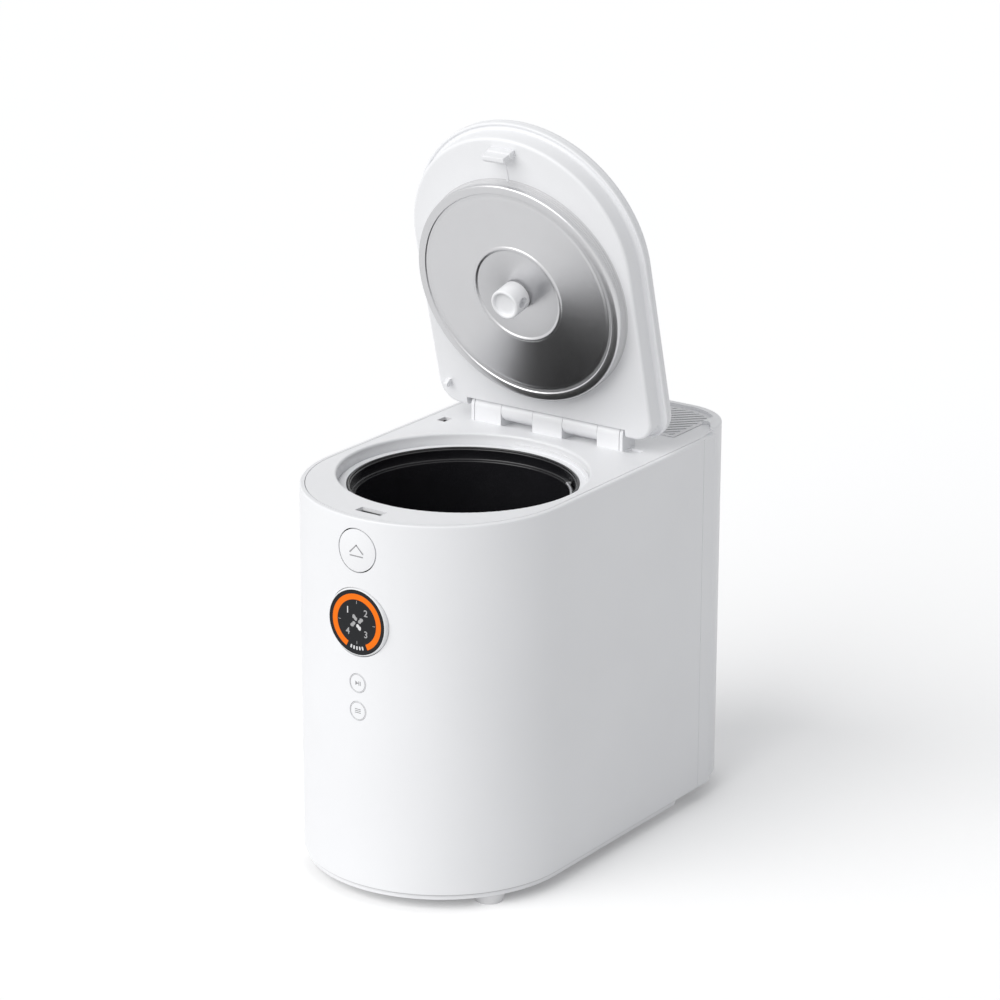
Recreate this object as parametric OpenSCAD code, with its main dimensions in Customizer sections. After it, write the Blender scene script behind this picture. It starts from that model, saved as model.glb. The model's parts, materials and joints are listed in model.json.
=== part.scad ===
// Countertop kitchen-waste composter: a white D-shaped body, a lid on a rear hinge, a lift-out
// bucket with a stirring paddle, a geared drive and heater under it, and a fan that blows the
// moist air out through a carbon filter at the back.
// Millimetres, +Z up and the front towards -Y. The origin is on the floor, under the middle of
// the body's depth and width. The lid is drawn open.

/* [Body] */
// Width of the body
body_w = 230; // [228:1:244]
// Depth from the front of the shell to the back of the rear cover
body_d = 400; // [396:1:420]
// Height of the top panel above the floor
body_h = 328; // [322:1:345]
// Distance of the opening's axis behind the centre of the round front
setback = 29; // [27:1:34]
// Wall of the shell, the base and the rear cover
wall = 2.5; // [2:0.1:3]
// Rounding of the shell's top edge
edge_r = 1.5; // [0.8:0.1:2]
// Width of the shell's rim round the top panel
rim_w = 4; // [3.5:0.1:5]
// Thickness of the top panel
panel_t = 3; // [2.5:0.1:3.5]
// Height of the feet under the base
foot_h = 9.5; // [8:0.5:15]
// Radius of a foot where it meets the base
foot_r = 14; // [11:0.5:16]
// Height of the base's skirt that shows under the shell
skirt_h = 4.9; // [3:0.1:6]
// Distance that the skirt stands in from the shell
skirt_in = 2; // [1:0.1:2.2]

/* [Rear cover and filter] */
// Depth of the rear cover behind its seam with the shell
rear_d = 71; // [68:1:74]
// Depth of the rear cover's part that is as wide as the shell
collar_d = 20; // [16:1:22]
// Distance that the rest of the rear cover stands in from the shell on each side
rear_in = 5; // [4:0.5:7]
// Corner radius of the rear cover
rear_r = 50; // [44:1:54]
// Height of the rear cover's rim over the top panel
rear_rise = 3; // [2:0.5:5]
// Width of the rear cover's rim beside the filter cover
rear_rim_w = 6.4; // [5:0.1:7]
// Distance from each side of the filter cover to the side of the shell
grille_side = 24.5; // [23:0.5:27]
// Distance of the filter cover's front edge in front of the seam
grille_ahead = 9.5; // [7:0.5:11]
// Distance between two slats of the filter cover
slat_pitch = 6.4; // [5.5:0.1:8]
// Width of a slat
slat_w = 3.6; // [3:0.1:4.2]
// Height of the carbon filter cartridge
filter_h = 70; // [60:1:76]
// Side of the square fan
fan_size = 60; // [54:1:62]
// Thickness of the fan
fan_t = 25; // [20:1:28]

/* [Opening and bucket] */
// Distance from the round opening in the top panel to the side of the shell
opening_side = 12.2; // [11:0.1:13]
// Depth of the ring-shaped seat under the top panel
seat_depth = 9.5; // [8.5:0.1:11]
// Distance from the opening to the bucket's rim
seat_w = 8.3; // [7.8:0.1:10]
// Height of the bucket
bucket_h = 191; // [185:1:193]
// Wall of the bucket
bucket_t = 1.6; // [1.2:0.1:2]
// Width of the step inside the bucket that the handle rests on
step_w = 4; // [3.6:0.1:5]
// Depth of that step under the bucket's rim
step_depth = 11; // [10:0.5:14]
// Radius of the handle's wire
bail_wire_r = 1.7; // [1.4:0.1:2]
// Gap between a paddle arm's end and the bucket's wall
paddle_gap = 8; // [4:1:24]

/* [Front controls] */
// Radius of the lid release button
push_r = 18; // [15:0.5:20]
// Distance of its centre under the top panel
push_drop = 27.1; // [25:0.1:29]
// Travel of the lid release button
push_travel = 3; // [2:0.5:3.5]
// Radius of the round display's lens
lens_r = 27; // [24:0.5:29]
// Distance of its centre under the top panel
lens_drop = 87.3; // [84:0.1:90]
// Distance that the display stands out in front of the shell
display_proud = 0.3; // [0.2:0.1:1]
// Width of the white ring round the lens
bezel_w = 1.6; // [1.2:0.1:2.4]
// Outer radius of the light ring
light_r = 23.8; // [21:0.1:25]
// Width of the light ring
light_w = 4.7; // [3:0.1:5]
// Radius of the two small buttons
key_r = 7.9; // [6:0.1:9]
// Distance of the upper small button under the top panel
key_drop = 138.9; // [134:0.1:142]
// Distance between the two small buttons
key_pitch = 23.7; // [20:0.1:28]
// Travel of a small button
key_travel = 0.5; // [0.3:0.1:0.6]

/* [Lid and hinge] */
// Angle that the lid is open by
lid_angle = 75.5; // [60:0.5:80]
// Distance that the lid stands in from the shell
lid_in = 2.2; // [1.5:0.1:3.5]
// Height of the lid's outer cover over the hinge axis
lid_rise = 17; // [15:0.5:20]
// Height of the seam between the lid's two shells over the hinge axis
lid_seam = 9.6; // [9:0.1:10.5]
// Rounding of the lid's outer edge
lid_edge_r = 5.5; // [4:0.1:7]
// Wall of the lid's shells
lid_wall = 2.2; // [1.8:0.1:2.4]
// Corner radius of the lid beside the hinge
lid_corner_r = 25; // [20:1:30]
// Distance of the hinge axis behind the opening's edge
hinge_back = 25.7; // [24:0.1:28]
// Height of the hinge axis over the top panel
hinge_rise = 12.3; // [11.5:0.1:13.5]
// Radius of the hinge's barrels
barrel_r = 9.5; // [8.5:0.1:9.8]
// Radius of the hinge pin
pin_r = 3; // [2:0.1:3.5]
// Distance that the steel plate inside the lid stands in from the opening's edge
plate_in = 4.2; // [3.8:0.1:6]
// Distance of the steel plate's face from the hinge axis
plate_drop = 20.3; // [19:0.1:20.6]
// Radius of the knob on the steel plate
knob_r = 13; // [11:0.5:15]
// Length of the knob
knob_h = 19.5; // [16:0.5:22]

/* [Drive] */
// Module of the motor's gear stage
fast_module = 1.5; // [1.4:0.05:1.55]
// Module of the output's gear stage
slow_module = 1.75; // [1.6:0.05:1.8]
// Radius of the motor's can
motor_r = 26; // [20:1:28]
// Radius of the output shaft
shaft_r = 5; // [4:0.5:6]
// Thickness of the chassis plate
chassis_t = 3; // [2:0.5:4]

/* [Hidden] */

$fn = 96;
eps = 0.01;
fit = 0.3;          // gap between pieces that slide or lift apart
bore_fit = 0.05;    // radial clearance of a shaft or pin in its bore

// Body. Heights are from the floor, and depths from the opening's axis
half_w = body_w / 2;
front_y = -half_w - setback;
back_y = body_d + front_y;
seam_y = back_y - rear_d;
axis_y = -(body_d + display_proud) / 2 + display_proud - front_y;
shell_z = foot_h + skirt_h;
floor_t = wall + 0.5;
floor_z = shell_z + floor_t;
panel_z = body_h - panel_t;
ledge_w = 4;
ledge_t = 3;
skirt_y = seam_y - 21;
skirt_corner = 15;

// Opening, bucket and chamber
opening_r = half_w - opening_side;
bucket_rim_r = opening_r - seat_w;
seat_z = body_h - seat_depth;
seat_t = 3;
seat_in_r = bucket_rim_r + 0.6;
recess_t = 2.2;
recess_z = seat_z - seat_t - fit - ledge_t;
bucket_top = seat_z + 0.5;
bucket_z = bucket_top - bucket_h;
bucket_in_r = bucket_rim_r - 2.5;
step_in_r = bucket_in_r - step_w;
step_z = bucket_top - step_depth;
paddle_reach = step_in_r - paddle_gap;
liner_t = 1.2;
liner_r = seat_in_r + 4.9;

// Stack under the bucket, from the top down
heater_t = 8.5;
heater_z = bucket_z - fit - heater_t;
heater_leg = 4;
liner_z = heater_z - heater_leg - liner_t;
pad_t = 3;
chassis_z = liner_z - pad_t - chassis_t;
gearbox_h = 28;
gearbox_z = chassis_z - gearbox_h;
hub_hole_r = 20;

// Filter cover
grille_w = body_w - 2 * grille_side;
grille_y = seam_y - grille_ahead;

// Hinge and lid, drawn closed
hinge_y = opening_r + hinge_back;
hinge_z = body_h + hinge_rise;
lid_w = half_w - lid_in;
lid_end_y = hinge_y + 4;
lid_top = hinge_z + lid_rise;
lid_seam_z = hinge_z + lid_seam;
lid_lip_z = lid_seam_z - 3.4;
plateau_z = hinge_z - 9.5;
plate_z = hinge_z - plate_drop;
plate_r = opening_r - plate_in;
plate_t = 0.8;
bead_h = 0.5;
edge_bead = plate_r - 11.1;
knob_bead = knob_r + 26.5;
bead_w = 4;
hinge_half = half_w - 42;
cheek_t = 3;
left_knuckle = [-45.9, -14.3];
right_knuckle = [16.2, 50.8];
block_gap = 0.35;

module on_axis() translate([0, axis_y, 0]) children();

module opened()
    translate([0, hinge_y, hinge_z]) rotate([-lid_angle, 0, 0]) translate([0, -hinge_y, -hinge_z]) children();

// A box from its two corners
module block(a, b) translate(a) cube(b - a);

// A ring between two radii and two heights
module ring(r_in, r_out, z0, z1)
    translate([0, 0, z0]) linear_extrude(z1 - z0) difference() {
        circle(r_out);
        circle(r_in);
    }

module disc(r, z0, z1) translate([0, 0, z0]) cylinder(h = z1 - z0, r = r);

// A cylinder along Y from one depth to another, at a place across the front
module rod_y(r, x, z, y0, y1) translate([x, y0, z]) rotate([-90, 0, 0]) cylinder(h = y1 - y0, r = r);

// A cylinder along X on the hinge axis
module rod_x(r, x0, x1) translate([x0, hinge_y, hinge_z]) rotate([0, 90, 0]) cylinder(h = x1 - x0, r = r);

// Outline with a half-round front and straight sides, that ends behind in corners of radius r
module d_plan(w, y_end, r = 0) {
    translate([0, -setback]) circle(w);
    translate([-w, -setback]) square([2 * w, setback + y_end - r]);
    if (r > 0) {
        translate([r - w, 0]) square([2 * (w - r), y_end]);
        for (s = [-1, 1]) translate([s * (w - r), y_end - r]) circle(r);
    }
}

// Outline of the narrow part of the rear cover from a depth backwards, drawn in by inset
module rear_plan(inset, y_start) intersection() {
    w = half_w - rear_in - inset;
    r = rear_r - inset;
    y_end = back_y - inset;
    translate([-w, y_start]) square([2 * w, y_end - y_start]);
    union() {
        translate([-w, 0]) square([2 * w, y_end - r]);
        translate([r - w, 0]) square([2 * (w - r), y_end]);
        for (s = [-1, 1]) translate([s * (w - r), y_end - r]) circle(r);
    }
}

// Sweeps a section along both straight sides; its x is the inset, its y the height
module side_sweep(w, y_end)
    for (s = [0, 1]) mirror([s, 0, 0])
        translate([w, y_end, 0]) rotate([90, 0, 0]) linear_extrude(y_end + setback) mirror([1, 0]) children();

// Sweeps a section round the half-round front
module front_sweep(w)
    translate([0, -setback, 0]) rotate([0, 0, 180]) rotate_extrude(angle = 180)
        translate([w, 0]) mirror([1, 0]) children();

// Sweeps a section round the rear corners and along the back
module back_sweep(w, y_end, r) {
    for (s = [0, 1]) mirror([s, 0, 0])
        translate([w - r, y_end - r, 0]) rotate_extrude(angle = 90) translate([r, 0]) mirror([1, 0]) children();
    translate([r - w, y_end, 0]) rotate([90, 0, 90]) linear_extrude(2 * (w - r)) mirror([1, 0]) children();
}

// A section's block from [x0, z0] to [x1, z1], with its upper outer corner rounded
module rounded_section(x0, z0, x1, z1, r) difference() {
    translate([x0, z0]) square([x1 - x0, z1 - z0]);
    translate([x0, z1 - r]) difference() {
        translate([-eps, 0]) square([r + eps, r + eps]);
        translate([r, 0]) circle(r);
    }
}

// A coil spring along Z of square-cut wire, as a closed tube
function coil_point(r, pitch, wire, sides, n, k) =
    let (a = 360 * n / 16, b = 360 * k / sides, rr = r + wire * cos(b))
    [rr * cos(a), rr * sin(a), pitch * n / 16 + wire * sin(b)];
module coil(r, wire, length, turns, sides = 6) {
    rings = turns * 16;
    pitch = (length - 2 * wire) / turns;
    points = [for (n = [0:rings]) for (k = [0:sides - 1]) coil_point(r, pitch, wire, sides, n, k)];
    skins = [for (n = [0:rings - 1]) for (k = [0:sides - 1])
        let (a = n * sides, b = (k + 1) % sides) [a + k, a + sides + k, a + sides + b, a + b]];
    translate([0, 0, wire]) polyhedron(points, concat(
        [[for (k = [0:sides - 1]) k]], skins, [[for (k = [sides - 1:-1:0]) rings * sides + k]]));
}

// ---------------------------------------------------------------- body

foot_places = [for (s = [-1, 1]) for (y = [-80.5, skirt_y - foot_r - 11]) [s * (half_w - 31.5), y]];
case_screw_places = [for (s = [-1, 1]) for (y = [-40, 50, seam_y - 45]) [s * (half_w - wall - 5), y]];
post_places = [for (s = [-1, 1]) for (y = [-50, 62]) [s * (liner_r - 28), y]];
key_z = body_h - key_drop;
key_places = [key_z, key_z - key_pitch];
push_z = body_h - push_drop;
lens_z = body_h - lens_drop;
bezel_r = lens_r + 0.1 + bezel_w;
hole_fit = 0.35;
board_y = front_y + 10;
board_post_places = [for (s = [-1, 1]) for (z = [lens_z + 36, key_places[1] - 12]) [s * 24, z]];

module shell_section() {
    rounded_section(0, shell_z, rim_w, body_h, edge_r);
    translate([0, panel_z - ledge_t]) square([rim_w + ledge_w, ledge_t]);
}

module outer_shell() color("white") on_axis() difference() {
    union() {
        difference() {
            union() {
                front_sweep(half_w) shell_section();
                side_sweep(half_w, seam_y) shell_section();
            }
            // the wall behind the rim
            translate([0, 0, shell_z - 1]) linear_extrude(panel_z - ledge_t - shell_z + 1)
                d_plan(half_w - wall, seam_y + 1);
        }
        for (p = case_screw_places) translate([p[0], p[1], floor_z]) cylinder(h = 26, r = 5.2);
        for (p = board_post_places) rod_y(3.5, p[0], p[1], front_y + 4.6, board_y);
    }
    for (p = case_screw_places) translate([p[0], p[1], floor_z - 1]) cylinder(h = 20, r = 1.55);
    for (p = board_post_places) rod_y(1.3, p[0], p[1], board_y - 4, board_y + 1);
    rod_y(push_r + hole_fit + 0.25, 0, push_z, front_y - 1, front_y + 12);
    rod_y(bezel_r + hole_fit, 0, lens_z, front_y - 1, front_y + 12);
    for (z = key_places) rod_y(key_r + hole_fit, 0, z, front_y - 1, front_y + 12);
}

module base_tray() color("white") on_axis() difference() {
    union() {
        translate([0, 0, foot_h]) linear_extrude(skirt_h) d_plan(half_w - skirt_in, skirt_y, skirt_corner);
        translate([0, 0, shell_z]) linear_extrude(floor_t) {
            d_plan(half_w - wall - fit, seam_y);
            rear_plan(wall + fit, skirt_y);
        }
        for (p = post_places) translate([p[0], p[1], floor_z - 1]) cylinder(h = chassis_z - floor_z + 1, r = 7);
        for (p = board_stand_places) translate([p[0], p[1], floor_z - 1]) cylinder(h = 1 + board_lift, r = 3.5);
    }
    for (p = case_screw_places) {
        translate([p[0], p[1], foot_h - 1]) cylinder(h = skirt_h + 1, r = 3.6);
        translate([p[0], p[1], foot_h]) cylinder(h = 20, r = 1.8);
    }
    for (p = post_places) translate([p[0], p[1], chassis_z - 15]) cylinder(h = 20, r = 1.55);
    for (x = [-30:10:30]) block([x - 1.5, -20, foot_h - 1], [x + 1.5, 20, floor_z + 1]);
}

module rubber_feet() color("gainsboro") on_axis()
    for (p = foot_places) translate([p[0], p[1], 0]) cylinder(h = foot_h, r1 = foot_r - 2.5, r2 = foot_r);

module case_screws() color("silver") on_axis() for (p = case_screw_places) translate([p[0], p[1], 0]) {
    translate([0, 0, shell_z - 2.4]) cylinder(h = 2.4, r = 3.1);
    translate([0, 0, shell_z - 1]) cylinder(h = floor_t + 13, r = 1.5);
}

// ---------------------------------------------------------------- top panel and hinge

panel_w = half_w - rim_w - 2 * fit;
latch_slot = [12.5, front_y + 15, front_y + 25];
switch_slot = [16 - half_w, 24 - half_w, hinge_y - 28.5, hinge_y - 16.5];
tongue_r = 50;
tongue_x = grille_w / 2 + 0.5;
tongue_cx = panel_w - tongue_r;
tongue_cy = seam_y + 2;
tip_r = 3.5;
tip_x = tongue_x + tip_r;
tip_y = tongue_cy + sqrt(pow(tongue_r - tip_r, 2) - pow(tip_x - tongue_cx, 2));

// The top panel runs on behind the seam in a tongue on each side of the filter cover
module tongue(grow = 0) for (s = [0, 1]) mirror([s, 0]) intersection() {
    translate([tongue_x - grow, seam_y - 12]) square([60, 80]);
    union() {
        translate([tip_x, tip_y]) circle(tip_r + grow);
        translate([tongue_x - grow, seam_y - 12]) square([tip_r + grow, tip_y - seam_y + 12]);
        intersection() {
            translate([tongue_cx, tongue_cy]) circle(tongue_r + grow);
            polygon([
                [tongue_cx, tongue_cy], [tip_x, tip_y],
                [tongue_cx + 2 * (tip_x - tongue_cx), tongue_cy + 2 * (tip_y - tongue_cy)],
                [half_w + 40, tongue_cy], [half_w + 40, seam_y - 12], [tongue_cx, seam_y - 12]
            ]);
        }
    }
}

module hinge_section() {
    translate([-barrel_r, -hinge_rise - 0.5]) square([2 * barrel_r, hinge_rise + 0.5]);
    circle(barrel_r);
}

// A fixed block of the hinge between two places along the axis
module hinge_block(x0, x1)
    translate([x0, hinge_y, hinge_z]) rotate([90, 0, 90]) linear_extrude(x1 - x0) hinge_section();

module top_panel() color("white") on_axis() difference() {
    union() {
        translate([0, 0, panel_z]) linear_extrude(panel_t) difference() {
            union() {
                d_plan(panel_w, seam_y);
                tongue();
            }
            translate([-grille_w / 2 - 0.5, grille_y - fit]) square([grille_w + 1, 90]);
        }
        ring(opening_r, opening_r + recess_t, recess_z, panel_z + 1);
        ring(seat_in_r + 1, opening_r + recess_t, recess_z, recess_z + ledge_t);
        hinge_block(-hinge_half, left_knuckle[0] - block_gap);
        hinge_block(left_knuckle[1] + block_gap, right_knuckle[0] - block_gap);
        hinge_block(right_knuckle[1] + block_gap, hinge_half);
        for (s = [0, 1]) mirror([s, 0, 0]) hinge_block(hinge_half + 0.6, hinge_half + 0.6 + cheek_t);
    }
    disc(opening_r, panel_z - 1, body_h + 1);
    // rounded lip of the opening
    translate([0, 0, body_h - 2]) rotate_extrude() translate([opening_r - 1, 0]) difference() {
        square([3, 3]);
        translate([3, 0]) circle(2);
    }
    rod_x(pin_r + bore_fit, -hinge_half - 0.5, hinge_half + 0.5);
    block([-latch_slot[0], latch_slot[1], panel_z - 1], [latch_slot[0], latch_slot[2], body_h + 1]);
    block([switch_slot[0], switch_slot[2], panel_z - 1], [switch_slot[1], switch_slot[3], body_h + 1]);
    for (k = [left_knuckle, right_knuckle])
        block([k[0] - block_gap, hinge_y - barrel_r, body_h - 2], [k[1] + block_gap, hinge_y + barrel_r, body_h + 1]);
    block([hinge_half + 5, hinge_y - barrel_r, body_h - 2], [hinge_half + 17, hinge_y + 2, body_h + 1]);
}

module seat_ring() color("white") on_axis() {
    ring(seat_in_r, opening_r - 0.2, seat_z - seat_t, seat_z - 2);
    ring(seat_in_r, opening_r - 2.3, seat_z - seat_t + 0.5, seat_z);
    translate([0, 0, seat_z - 2.6]) rotate([0, 0, -3]) rotate_extrude(angle = 104)
        translate([opening_r - 2.5, 0]) square([2.1, 6.1]);
}

module hinge_pin() color("silver") on_axis() rod_x(pin_r, -hinge_half, hinge_half);

spring_x = [right_knuckle[0] + 8, right_knuckle[1]];
module hinge_spring() color("dimgray") on_axis()
    translate([spring_x[0] + 0.4, hinge_y, hinge_z]) rotate([0, 90, 0])
        coil(pin_r + 2.6, 0.6, spring_x[1] - spring_x[0] - 0.4, 9);

// ---------------------------------------------------------------- rear cover and filter

module grille_plan(grow = 0) intersection() {
    translate([-grille_w / 2 - grow, grille_y - grow]) square([grille_w + 2 * grow, back_y]);
    rear_plan(rear_rim_w + fit - grow, grille_y - 5);
}

vent_z = shell_z + 40;
inlet_x = -38;
inlet_z = shell_z + 32;
inlet_w = 28;
inlet_h = 20;
collar_r = 3;

module rear_cover() color("white") on_axis() difference() {
    union() {
        translate([0, 0, shell_z]) linear_extrude(body_h - shell_z) difference() {
            translate([-half_w, seam_y + fit]) square([body_w, collar_d - fit]);
            for (s = [0, 1]) mirror([s, 0]) translate([half_w - collar_r, seam_y + collar_d - collar_r]) difference() {
                square(collar_r + 1);
                circle(collar_r);
            }
        }
        translate([0, 0, shell_z]) linear_extrude(body_h + rear_rise - edge_r - shell_z)
            rear_plan(0, seam_y + collar_d - 4);
        back_sweep(half_w - rear_in, back_y, rear_r)
            rounded_section(0, body_h, rear_r - 1, body_h + rear_rise, edge_r);
        translate([0, 0, body_h - 1]) linear_extrude(rear_rise - edge_r + 1) rear_plan(0, seam_y + 10);
    }
    // the hollow behind the walls
    translate([0, 0, shell_z - 1]) linear_extrude(panel_z - ledge_t - shell_z + 1) {
        translate([wall - half_w, seam_y - 1]) square([body_w - 2 * wall, collar_d + 1 - wall]);
        rear_plan(wall, seam_y + 5);
    }
    // seats of the top panel's tongues and of the filter cover
    translate([0, 0, panel_z]) linear_extrude(20) tongue(fit);
    translate([0, 0, panel_z - ledge_t - 1]) linear_extrude(30) grille_plan(fit);
    translate([0, 0, panel_z - ledge_t - 1]) linear_extrude(ledge_t + 1 + eps) tray_flange_plan(fit);
    // air slots low in the back
    for (n = [-6:6]) block([n * 7 - 1.5, back_y - 8, vent_z + 28], [n * 7 + 1.5, back_y + 1, vent_z + 68]);
    block([inlet_x - inlet_w / 2, back_y - 8, inlet_z - inlet_h / 2], [inlet_x + inlet_w / 2, back_y + 1, inlet_z + inlet_h / 2]);
}

well_x = grille_w / 2 - 6;
well_y = [grille_y + 6.5, back_y - 18];
well_z = panel_z - 8 - filter_h;
fan_y = (well_y[0] + well_y[1]) / 2;
fan_z = well_z - 2 - fan_t;

module tray_flange_plan(grow = 0) intersection() {
    translate([-grille_w / 2 - 2.5 - grow, grille_y - 3 - grow]) square([grille_w + 5 + 2 * grow, back_y]);
    rear_plan(wall + 1 - grow, grille_y - 10);
}

module filter_tray() color("gainsboro") on_axis() difference() {
    union() {
        translate([0, 0, panel_z - 2.4]) linear_extrude(2.4) tray_flange_plan();
        block([-well_x - 2, well_y[0] - 2, well_z - 2], [well_x + 2, well_y[1] + 2, panel_z - 1]);
    }
    block([-well_x, well_y[0], well_z], [well_x, well_y[1], panel_z + 1]);
    translate([0, fan_y, well_z - 3]) cylinder(h = 4, r = fan_size / 2 - 3);
}

module filter_seal() color("dimgray") on_axis() translate([0, 0, well_z]) linear_extrude(2) difference() {
    translate([-well_x + 1, well_y[0] + 1]) square([2 * well_x - 2, well_y[1] - well_y[0] - 2]);
    translate([-well_x + 7, well_y[0] + 7]) square([2 * well_x - 14, well_y[1] - well_y[0] - 14]);
}

module filter_cartridge() color("darkslategray") on_axis() difference() {
    block([-well_x + 0.4, well_y[0] + 0.4, well_z + 2], [well_x - 0.4, well_y[1] - 0.4, well_z + filter_h]);
    // air holes through the frame, and a hollow to grip it by
    for (n = [-6:6]) for (y = [well_y[0] + 10:12:well_y[1] - 8])
        translate([n * 11.5, y, well_z + filter_h - 6]) cylinder(h = 7, r = 3.4);
    for (n = [-6:6]) for (y = [well_y[0] + 10:12:well_y[1] - 8])
        translate([n * 11.5, y, well_z + 1]) cylinder(h = 6, r = 3.4);
}

cover_t = 3.4;
module filter_cover() color("whitesmoke") on_axis() translate([0, 0, panel_z]) linear_extrude(cover_t) {
    difference() {
        grille_plan();
        grille_plan(-4);
    }
    // slats at 45 degrees
    intersection() {
        grille_plan(-2);
        translate([0, fan_y]) rotate(45)
            for (n = [-16:16]) translate([-120, n * slat_pitch - slat_w / 2]) square([240, slat_w]);
    }
    intersection() {
        grille_plan(-2);
        for (n = [-1:1]) translate([n * grille_w / 4 - 1, grille_y]) square([2, back_y]);
    }
}

duct_x = 30;
duct_y = liner_r + 4;
port_z = recess_z - 28;
module air_duct() color("lightgray") on_axis() {
    plenum_z = fan_z - 26;
    difference() {
        union() {
            block([-duct_x, liner_r + 0.3, plenum_z], [duct_x, duct_y + 16, port_z + 22]);
            block([-duct_x, liner_r - 6, port_z - 4], [duct_x, duct_y + 2, port_z + 22]);
            block([-duct_x - 4, duct_y + 2, plenum_z], [duct_x + 4, well_y[1], fan_z]);
        }
        disc(liner_r + fit, plenum_z - 1, body_h);
        block([2 - duct_x, duct_y, plenum_z + 2], [duct_x - 2, duct_y + 14, port_z + 20]);
        block([4 - duct_x, liner_r - 8, port_z], [duct_x - 4, duct_y + 5, port_z + 18]);
        block([-duct_x - 2, duct_y + 10, plenum_z + 2], [duct_x + 2, well_y[1] - 2, fan_z - 2]);
        translate([0, fan_y, fan_z - 3]) cylinder(h = 4, r = fan_size / 2 - 3);
    }
}

module fan_housing() color("darkslategray") on_axis() translate([0, fan_y, fan_z]) {
    difference() {
        translate([-fan_size / 2, -fan_size / 2, 0]) cube([fan_size, fan_size, fan_t]);
        translate([0, 0, -1]) cylinder(h = fan_t + 2, r = fan_size / 2 - 2);
        for (x = [-1, 1]) for (y = [-1, 1])
            translate([x * (fan_size / 2 - 4.5), y * (fan_size / 2 - 4.5), -1]) cylinder(h = fan_t + 2, r = 2);
    }
    difference() {
        union() {
            cylinder(h = 3, r = 12);
            for (a = [0:120:240]) rotate(a + 45) translate([0, -1.5, 0]) cube([fan_size / 2 - 1, 3, 2.5]);
        }
        translate([0, 0, -1]) cylinder(h = 6, r = 2 + bore_fit);
    }
}

module fan_rotor() color("black") on_axis() translate([0, fan_y, fan_z]) {
    cylinder(h = 3.6, r = 2);
    translate([0, 0, 3.5]) cylinder(h = fan_t - 6, r = 12);
    intersection() {
        for (a = [0:360 / 7:359]) rotate(a) translate([10, 0, fan_t / 2]) rotate([40, 0, 0])
            translate([0, -9, -0.8]) cube([fan_size / 2 - 12, 18, 1.6]);
        translate([0, 0, 4]) cylinder(h = fan_t - 7, r = fan_size / 2 - 3);
    }
}

// ---------------------------------------------------------------- front controls

module display_bezel() color("white") on_axis() difference() {
    rod_y(bezel_r, 0, lens_z, front_y - display_proud, front_y + 8.5);
    rod_y(lens_r + 0.1, 0, lens_z, front_y - display_proud - 1, front_y + 2.6);
    rod_y(lens_r - 3, 0, lens_z, front_y - display_proud - 1, front_y + 9);
}

module display_lens() color("#34373a") on_axis() difference() {
    rod_y(lens_r, 0, lens_z, front_y - display_proud, front_y + 2.6);
    light_shape(0.06, front_y - display_proud - 1, front_y + 0.6);
}

// The light ring is open at its foot
light_gap = 26;
module light_shape(grow, y0, y1)
    translate([0, y0, lens_z]) rotate([-90, 0, 0]) rotate([0, 0, 90 + light_gap]) rotate_extrude(angle = 360 - 2 * light_gap)
        translate([light_r - light_w - grow, 0]) square([light_w + 2 * grow, y1 - y0]);

module light_ring() color("darkorange") on_axis() light_shape(0, front_y - display_proud, front_y + 0.6);

module display_board() color("darkgreen") on_axis() {
    top_z = lens_z + 40;
    foot_z = key_places[1] - 16;
    difference() {
        block([-29, board_y, foot_z], [29, board_y + 1.6, top_z]);
        for (p = board_post_places) rod_y(1.6, p[0], p[1], board_y - 1, board_y + 3);
    }
    // light guide behind the lens, and a switch behind each small button
    difference() {
        rod_y(lens_r - 3.4, 0, lens_z, front_y + 2.9, board_y + 0.5);
        rod_y(lens_r - 12, 0, lens_z, front_y + 2, board_y - 1.5);
    }
    for (z = key_places) {
        block([-3, board_y - 1.2, z - 3], [3, board_y + 0.5, z + 3]);
        rod_y(1.6, 0, z, board_y - 1.6, board_y);
    }
}

// A cap whose face follows the round front
module round_cap(r, z, depth) intersection() {
    rod_y(r, 0, z, front_y - 1, front_y + depth);
    translate([0, -setback, z - r - 1]) cylinder(h = 2 * r + 2, r = half_w);
}

module key(z) {
    round_cap(key_r, z, 3.4);
    rod_y(key_r + 1.5, 0, z, front_y + 3.2, front_y + 4.6);
    rod_y(2, 0, z, front_y + 4, board_y - 1.6 - key_travel - 0.2);
}
module play_button() color("white") on_axis() key(key_places[0]);
module mode_button() color("white") on_axis() key(key_places[1]);

stem_r = 4;
guide_y = front_y + 16;
slider_y = [front_y + 27, front_y + 31];
bolt_y = front_y + 24.8;
bolt_z = [plate_z - 1, plate_z + 3];

module push_button() color("white") on_axis() {
    difference() {
        round_cap(push_r, push_z, 10);
        rod_y(push_r - 2, 0, push_z, front_y + 3, front_y + 11);
    }
    rod_y(stem_r, 0, push_z, front_y + 2, slider_y[0]);
}

module push_spring() color("silver") on_axis()
    translate([0, front_y + 3.1, push_z]) rotate([-90, 0, 0]) coil(stem_r + 1.3, 0.5, guide_y - front_y - 3.2, 5);

module latch_slider() color("gainsboro") on_axis() difference() {
    union() {
        block([-9, slider_y[0], push_z - 7], [9, slider_y[1], bolt_z[1]]);
        block([-9, bolt_y, bolt_z[0]], [9, slider_y[0] + 1, bolt_z[1]]);
        block([-7, guide_y + 2.6, push_z - 7], [7, slider_y[0] + 1, push_z + 7]);
    }
    rod_y(stem_r + 0.01, 0, push_z, guide_y, slider_y[0] + 0.01);
}

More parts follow.
